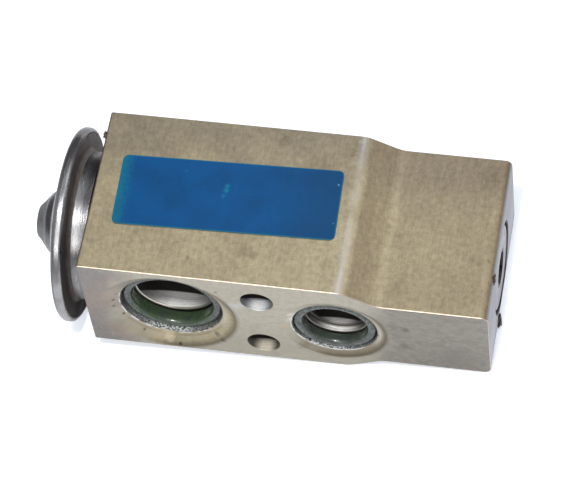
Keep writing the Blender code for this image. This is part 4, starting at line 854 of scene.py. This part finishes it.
dirt_finish, tree, shader, place = new_finish("dried_sealer", 0.7, 0.0)
clouds = stained(tree, place, 1.5, 0.4, 0.6)
paint(tree, shader, tint(tree, clouds, (0.045, 0.032, 0.022, 1), (0.13, 0.10, 0.07, 1)),
      plus(tree, 0.5, times(tree, clouds, 0.3)))
raise_surface(tree, shader, clouds, 0.08)
for name, centre, size, seed in (
        ("sealer_crumb", (44.5, 11.2, -9.3), (0.45, 1.0, 1.2), 3.0),
        ("sealer_bead", (44.35, 9.3, 9.75), (0.2, 0.9, 0.6), 8.0),
        ("saw_burr", (-34.55, 29.9, 14.35), (0.3, 0.75, 0.4), 14.0)):
    lump = ragged_lump(name, centre, size, seed)
    shade(lump, 60)
    lump.data.materials.append(dirt_finish)
    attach(lump, "valve_block")


# Label
# A blue film label, cut with round corners and stuck a little askew on the top face.
# The film is faded to teal at its edges and lightly scratched.
LABEL_TURN = math.radians(1.5)
LABEL_X, LABEL_Y = -8.1, 18.5
LABEL_CORNER = 1.2
HALF_LENGTH, HALF_WIDTH = 21.6, 7.75
label_outline = rounded_corners([
    (-HALF_LENGTH, -HALF_WIDTH, LABEL_CORNER), (HALF_LENGTH, -HALF_WIDTH, LABEL_CORNER),
    (HALF_LENGTH, HALF_WIDTH, LABEL_CORNER), (-HALF_LENGTH, HALF_WIDTH, LABEL_CORNER)], 10)
label_mesh = bmesh.new()
label_rings = []
for lift, shrink in ((0.1, 0.0), (0.17, 0.0), (0.2, 0.04)):
    points = []
    for point in inset(label_outline, shrink):
        askew = Matrix.Rotation(LABEL_TURN, 2) @ point
        on_face = Vector((LABEL_X + askew.x, LABEL_Y + askew.y, TOP_FACE + lift))
        points.append(label_mesh.verts.new(on_face * MM))
    label_rings.append(points)
for low, high in zip(label_rings, label_rings[1:]):
    for index in range(len(low)):
        following = (index + 1) % len(low)
        label_mesh.faces.new((low[index], low[following], high[following], high[index]))
label_mesh.faces.new(label_rings[0])
label_mesh.faces.new(label_rings[-1])
label = new_piece("blue_label", label_mesh)
shade(label)
label_finish, tree, shader, place = new_finish("blue_film", 0.3, 0.0)
shader["Specular IOR Level"].default_value = 0.18
straight = add(tree, "Mapping", {
    "Vector": place, "Location": (LABEL_X, LABEL_Y, 0.0), "Rotation": (0.0, 0.0, LABEL_TURN)},
    vector_type="TEXTURE").outputs[0]
spot = sides_of(tree, straight)
clouds = stained(tree, place, 0.18, 0.35, 0.75)
mottle = stained(tree, place, 1.4, 0.4, 0.8)
blue = tint(tree, clouds, (0.001, 0.068, 0.215, 1), (0.001, 0.054, 0.175, 1))
blue = tint(tree, times(tree, mottle, 0.35), blue, (0.003, 0.075, 0.20, 1))
blue = tint(tree, fade(tree, spot["X"], 6.0, 21.0, 0.0, 0.65), blue, (0.002, 0.045, 0.125, 1))
to_end = minus(tree, HALF_LENGTH, maths(tree, "ABSOLUTE", spot["X"]))
to_side = minus(tree, HALF_WIDTH, maths(tree, "ABSOLUTE", spot["Y"]))
faded_edge = fade(tree, maths(tree, "MINIMUM", to_end, to_side), 0.35, 0.05)
faded_left = fade(tree, plus(tree, spot["X"], times(tree, mottle, 1.6)), -18.2, -21.4)
faded = times(tree, maths(tree, "MAXIMUM", faded_edge, faded_left), 0.8)
blue = tint(tree, faded, blue, (0.005, 0.14, 0.21, 1))
scratches = 0.0
for x, y, size, colour, strength in (
        (-8.6, 20.9, 0.7, (0.01, 0.20, 0.30, 1), 0.6), (-8.7, 19.9, 0.7, (0.01, 0.20, 0.30, 1), 0.6),
        (-9.0, 18.6, 0.6, (0.01, 0.18, 0.27, 1), 0.5), (-17.0, 23.4, 0.4, (0.01, 0.18, 0.27, 1), 0.4),
        (12.6, 23.6, 0.3, (0.16, 0.34, 0.46, 1), 0.6), (12.9, 15.0, 0.2, (0.10, 0.28, 0.4, 1), 0.5)):
    scratch = soft_mark(tree, place, x, y, TOP_FACE + 0.2, size)
    blue = tint(tree, times(tree, scratch, strength), blue, colour)
    scratches = maths(tree, "MAXIMUM", scratches, scratch)
paint(tree, shader, blue, plus(tree, 0.28, times(tree, mottle, 0.15)))
raise_surface(tree, shader, minus(tree, mottle, scratches), 0.02)
label.data.materials.append(label_finish)
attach(label, "valve_block")
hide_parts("label")


# Inner pieces
# The diaphragm in the power head, and in the block the stopper, sensing rod, push pin,
# ball, carrier, damping ring, spring and the washer that holds the rod's seal. They are
# bright turned or drawn metal, lightly oiled.
def bright_metal(name, colour, oiled_colour, roughness):
    material, tree, shader, place = new_finish(name, roughness)
    clouds = stained(tree, place, 0.35, 0.35, 0.7)
    drawn_lines = grained(tree, stretched(tree, place, 1.0, 0.15, 0.15), 3.0, 2.0)
    paint(tree, shader, tint(tree, clouds, colour, oiled_colour),
          plus(tree, roughness - 0.08, times(tree, drawn_lines, 0.16)))
    raise_surface(tree, shader, drawn_lines, 0.015)
    return material


inner_steel = bright_metal("bright_steel", (0.60, 0.60, 0.59, 1), (0.46, 0.45, 0.43, 1), 0.22)
inner_brass = bright_metal("turned_brass", (0.62, 0.46, 0.20, 1), (0.48, 0.34, 0.15, 1), 0.28)
rod_metal = bright_metal("turned_aluminium", (0.70, 0.70, 0.69, 1), (0.56, 0.55, 0.52, 1), 0.28)
for node, finish, slot in (
        ("diaphragm", inner_steel, "inner_steel"), ("push_pin", inner_steel, "inner_steel"),
        ("rod_seal_retainer", inner_steel, "inner_steel"), ("valve_ball", inner_steel, "inner_steel"),
        ("damping_ring", inner_steel, "inner_steel"), ("superheat_spring", inner_steel, "inner_steel"),
        ("diaphragm_stopper", inner_brass, "inner_brass"), ("ball_carrier", inner_brass, "inner_brass"),
        ("sensing_rod", rod_metal, "rod_aluminium")):
    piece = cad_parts[node]
    piece.data.materials.clear()
    piece.data.materials.append(finish)


# Floor and light
# White paper under a large soft lamp. The valve rests on its power head's rim and on
# the edge where the block steps down, so the paper is tilted to touch both.
RIM_LOW = (-39.4, -19.2)
STEP_LOW = (16.2, -13.45)
tilt = math.atan2(STEP_LOW[1] - RIM_LOW[1], STEP_LOW[0] - RIM_LOW[0])
paper_mesh = bmesh.new()
bmesh.ops.create_grid(paper_mesh, x_segments=1, y_segments=1, size=3.0)
paper = new_piece("paper_floor", paper_mesh)
paper.location = Vector((STEP_LOW[0], AXIS_DEPTH, STEP_LOW[1] - 0.05)) * MM
paper.rotation_euler = (0.0, -tilt, 0.0)
paper_finish, tree, shader, place = new_finish("white_paper", 0.9, 0.0)
rays = add(tree, "LightPath").outputs
away = fade(tree, add(tree, "VectorMath", {0: place}, operation="LENGTH").outputs["Value"], 120.0, 420.0)
beyond = times(tree, rays["Is Glossy Ray"], away)
tree.links.new(tint(tree, beyond, (0.80, 0.81, 0.83, 1), (0.16, 0.16, 0.17, 1)), shader["Base Color"])
by_metal = times(tree, rays["Is Glossy Ray"], minus(tree, 1.0, away))
seen = maths(tree, "ADD", rays["Is Camera Ray"], rays["Is Transmission Ray"], clamp=True)
seen = plus(tree, seen, times(tree, by_metal, 0.15))
glow = add(tree, "Emission", {"Color": (0.85, 0.90, 1.0, 1), "Strength": times(tree, seen, 0.5)})
surface = add(tree, "AddShader", {0: tree.nodes["Principled BSDF"].outputs[0], 1: glow.outputs[0]})
tree.links.new(surface.outputs[0], tree.nodes["Material Output"].inputs["Surface"])
paper.data.materials.append(paper_finish)

world = bpy.data.worlds.new("studio")
bpy.context.scene.world = world
world.use_nodes = True
tree = world.node_tree
sky = tree.nodes["Background"].inputs
toward = sides_of(tree, add(tree, "TexCoord").outputs["Generated"])
rays = add(tree, "LightPath").outputs
ambient = tint(tree, fade(tree, toward["Y"], -0.5, 0.7), (0.40, 0.41, 0.43, 1), (0.20, 0.20, 0.21, 1))
ambient = tint(tree, fade(tree, toward["Z"], 0.45, 0.0), ambient, (0.13, 0.13, 0.14, 1))
seen = maths(tree, "ADD", rays["Is Camera Ray"], rays["Is Transmission Ray"], clamp=True)
tree.links.new(tint(tree, seen, ambient, (1.0, 1.0, 1.0, 1)), sky["Color"])


def lamp(name, direction, distance, width, height, power, colour):
    """Soft rectangular lamp that looks at the middle of the valve."""
    data = bpy.data.lights.new(name, "AREA")
    data.shape = "RECTANGLE"
    data.size, data.size_y = width, height
    data.energy = power
    data.color = colour
    light = bpy.data.objects.new(name, data)
    bpy.context.scene.collection.objects.link(light)
    aim = Vector(direction).normalized()
    light.location = Vector((0.0, AXIS_DEPTH * MM, 0.0)) + aim * distance
    light.rotation_mode = "QUATERNION"
    light.rotation_quaternion = aim.to_track_quat("Z", "Y")


lamp("key_lamp", (0.0, -0.33, 0.94), 0.9, 0.05, 0.05, 3.2, (1.0, 0.98, 0.95))
lamp("soft_box", (0.0, -0.34, 0.94), 0.8, 0.35, 0.55, 1.8, (0.97, 0.98, 1.0))
lamp("overhead_lamp", (0.15, 0.45, 0.85), 0.8, 0.6, 0.5, 1.25, (0.95, 0.97, 1.0))
lamp("side_lamp", (0.70, 0.42, 0.58), 0.8, 0.5, 0.5, 0.7, (1.0, 0.98, 0.95))
lamp("front_box", (-0.15, -0.82, 0.55), 0.8, 0.35, 0.35, 1.3, (1.0, 0.98, 0.95))
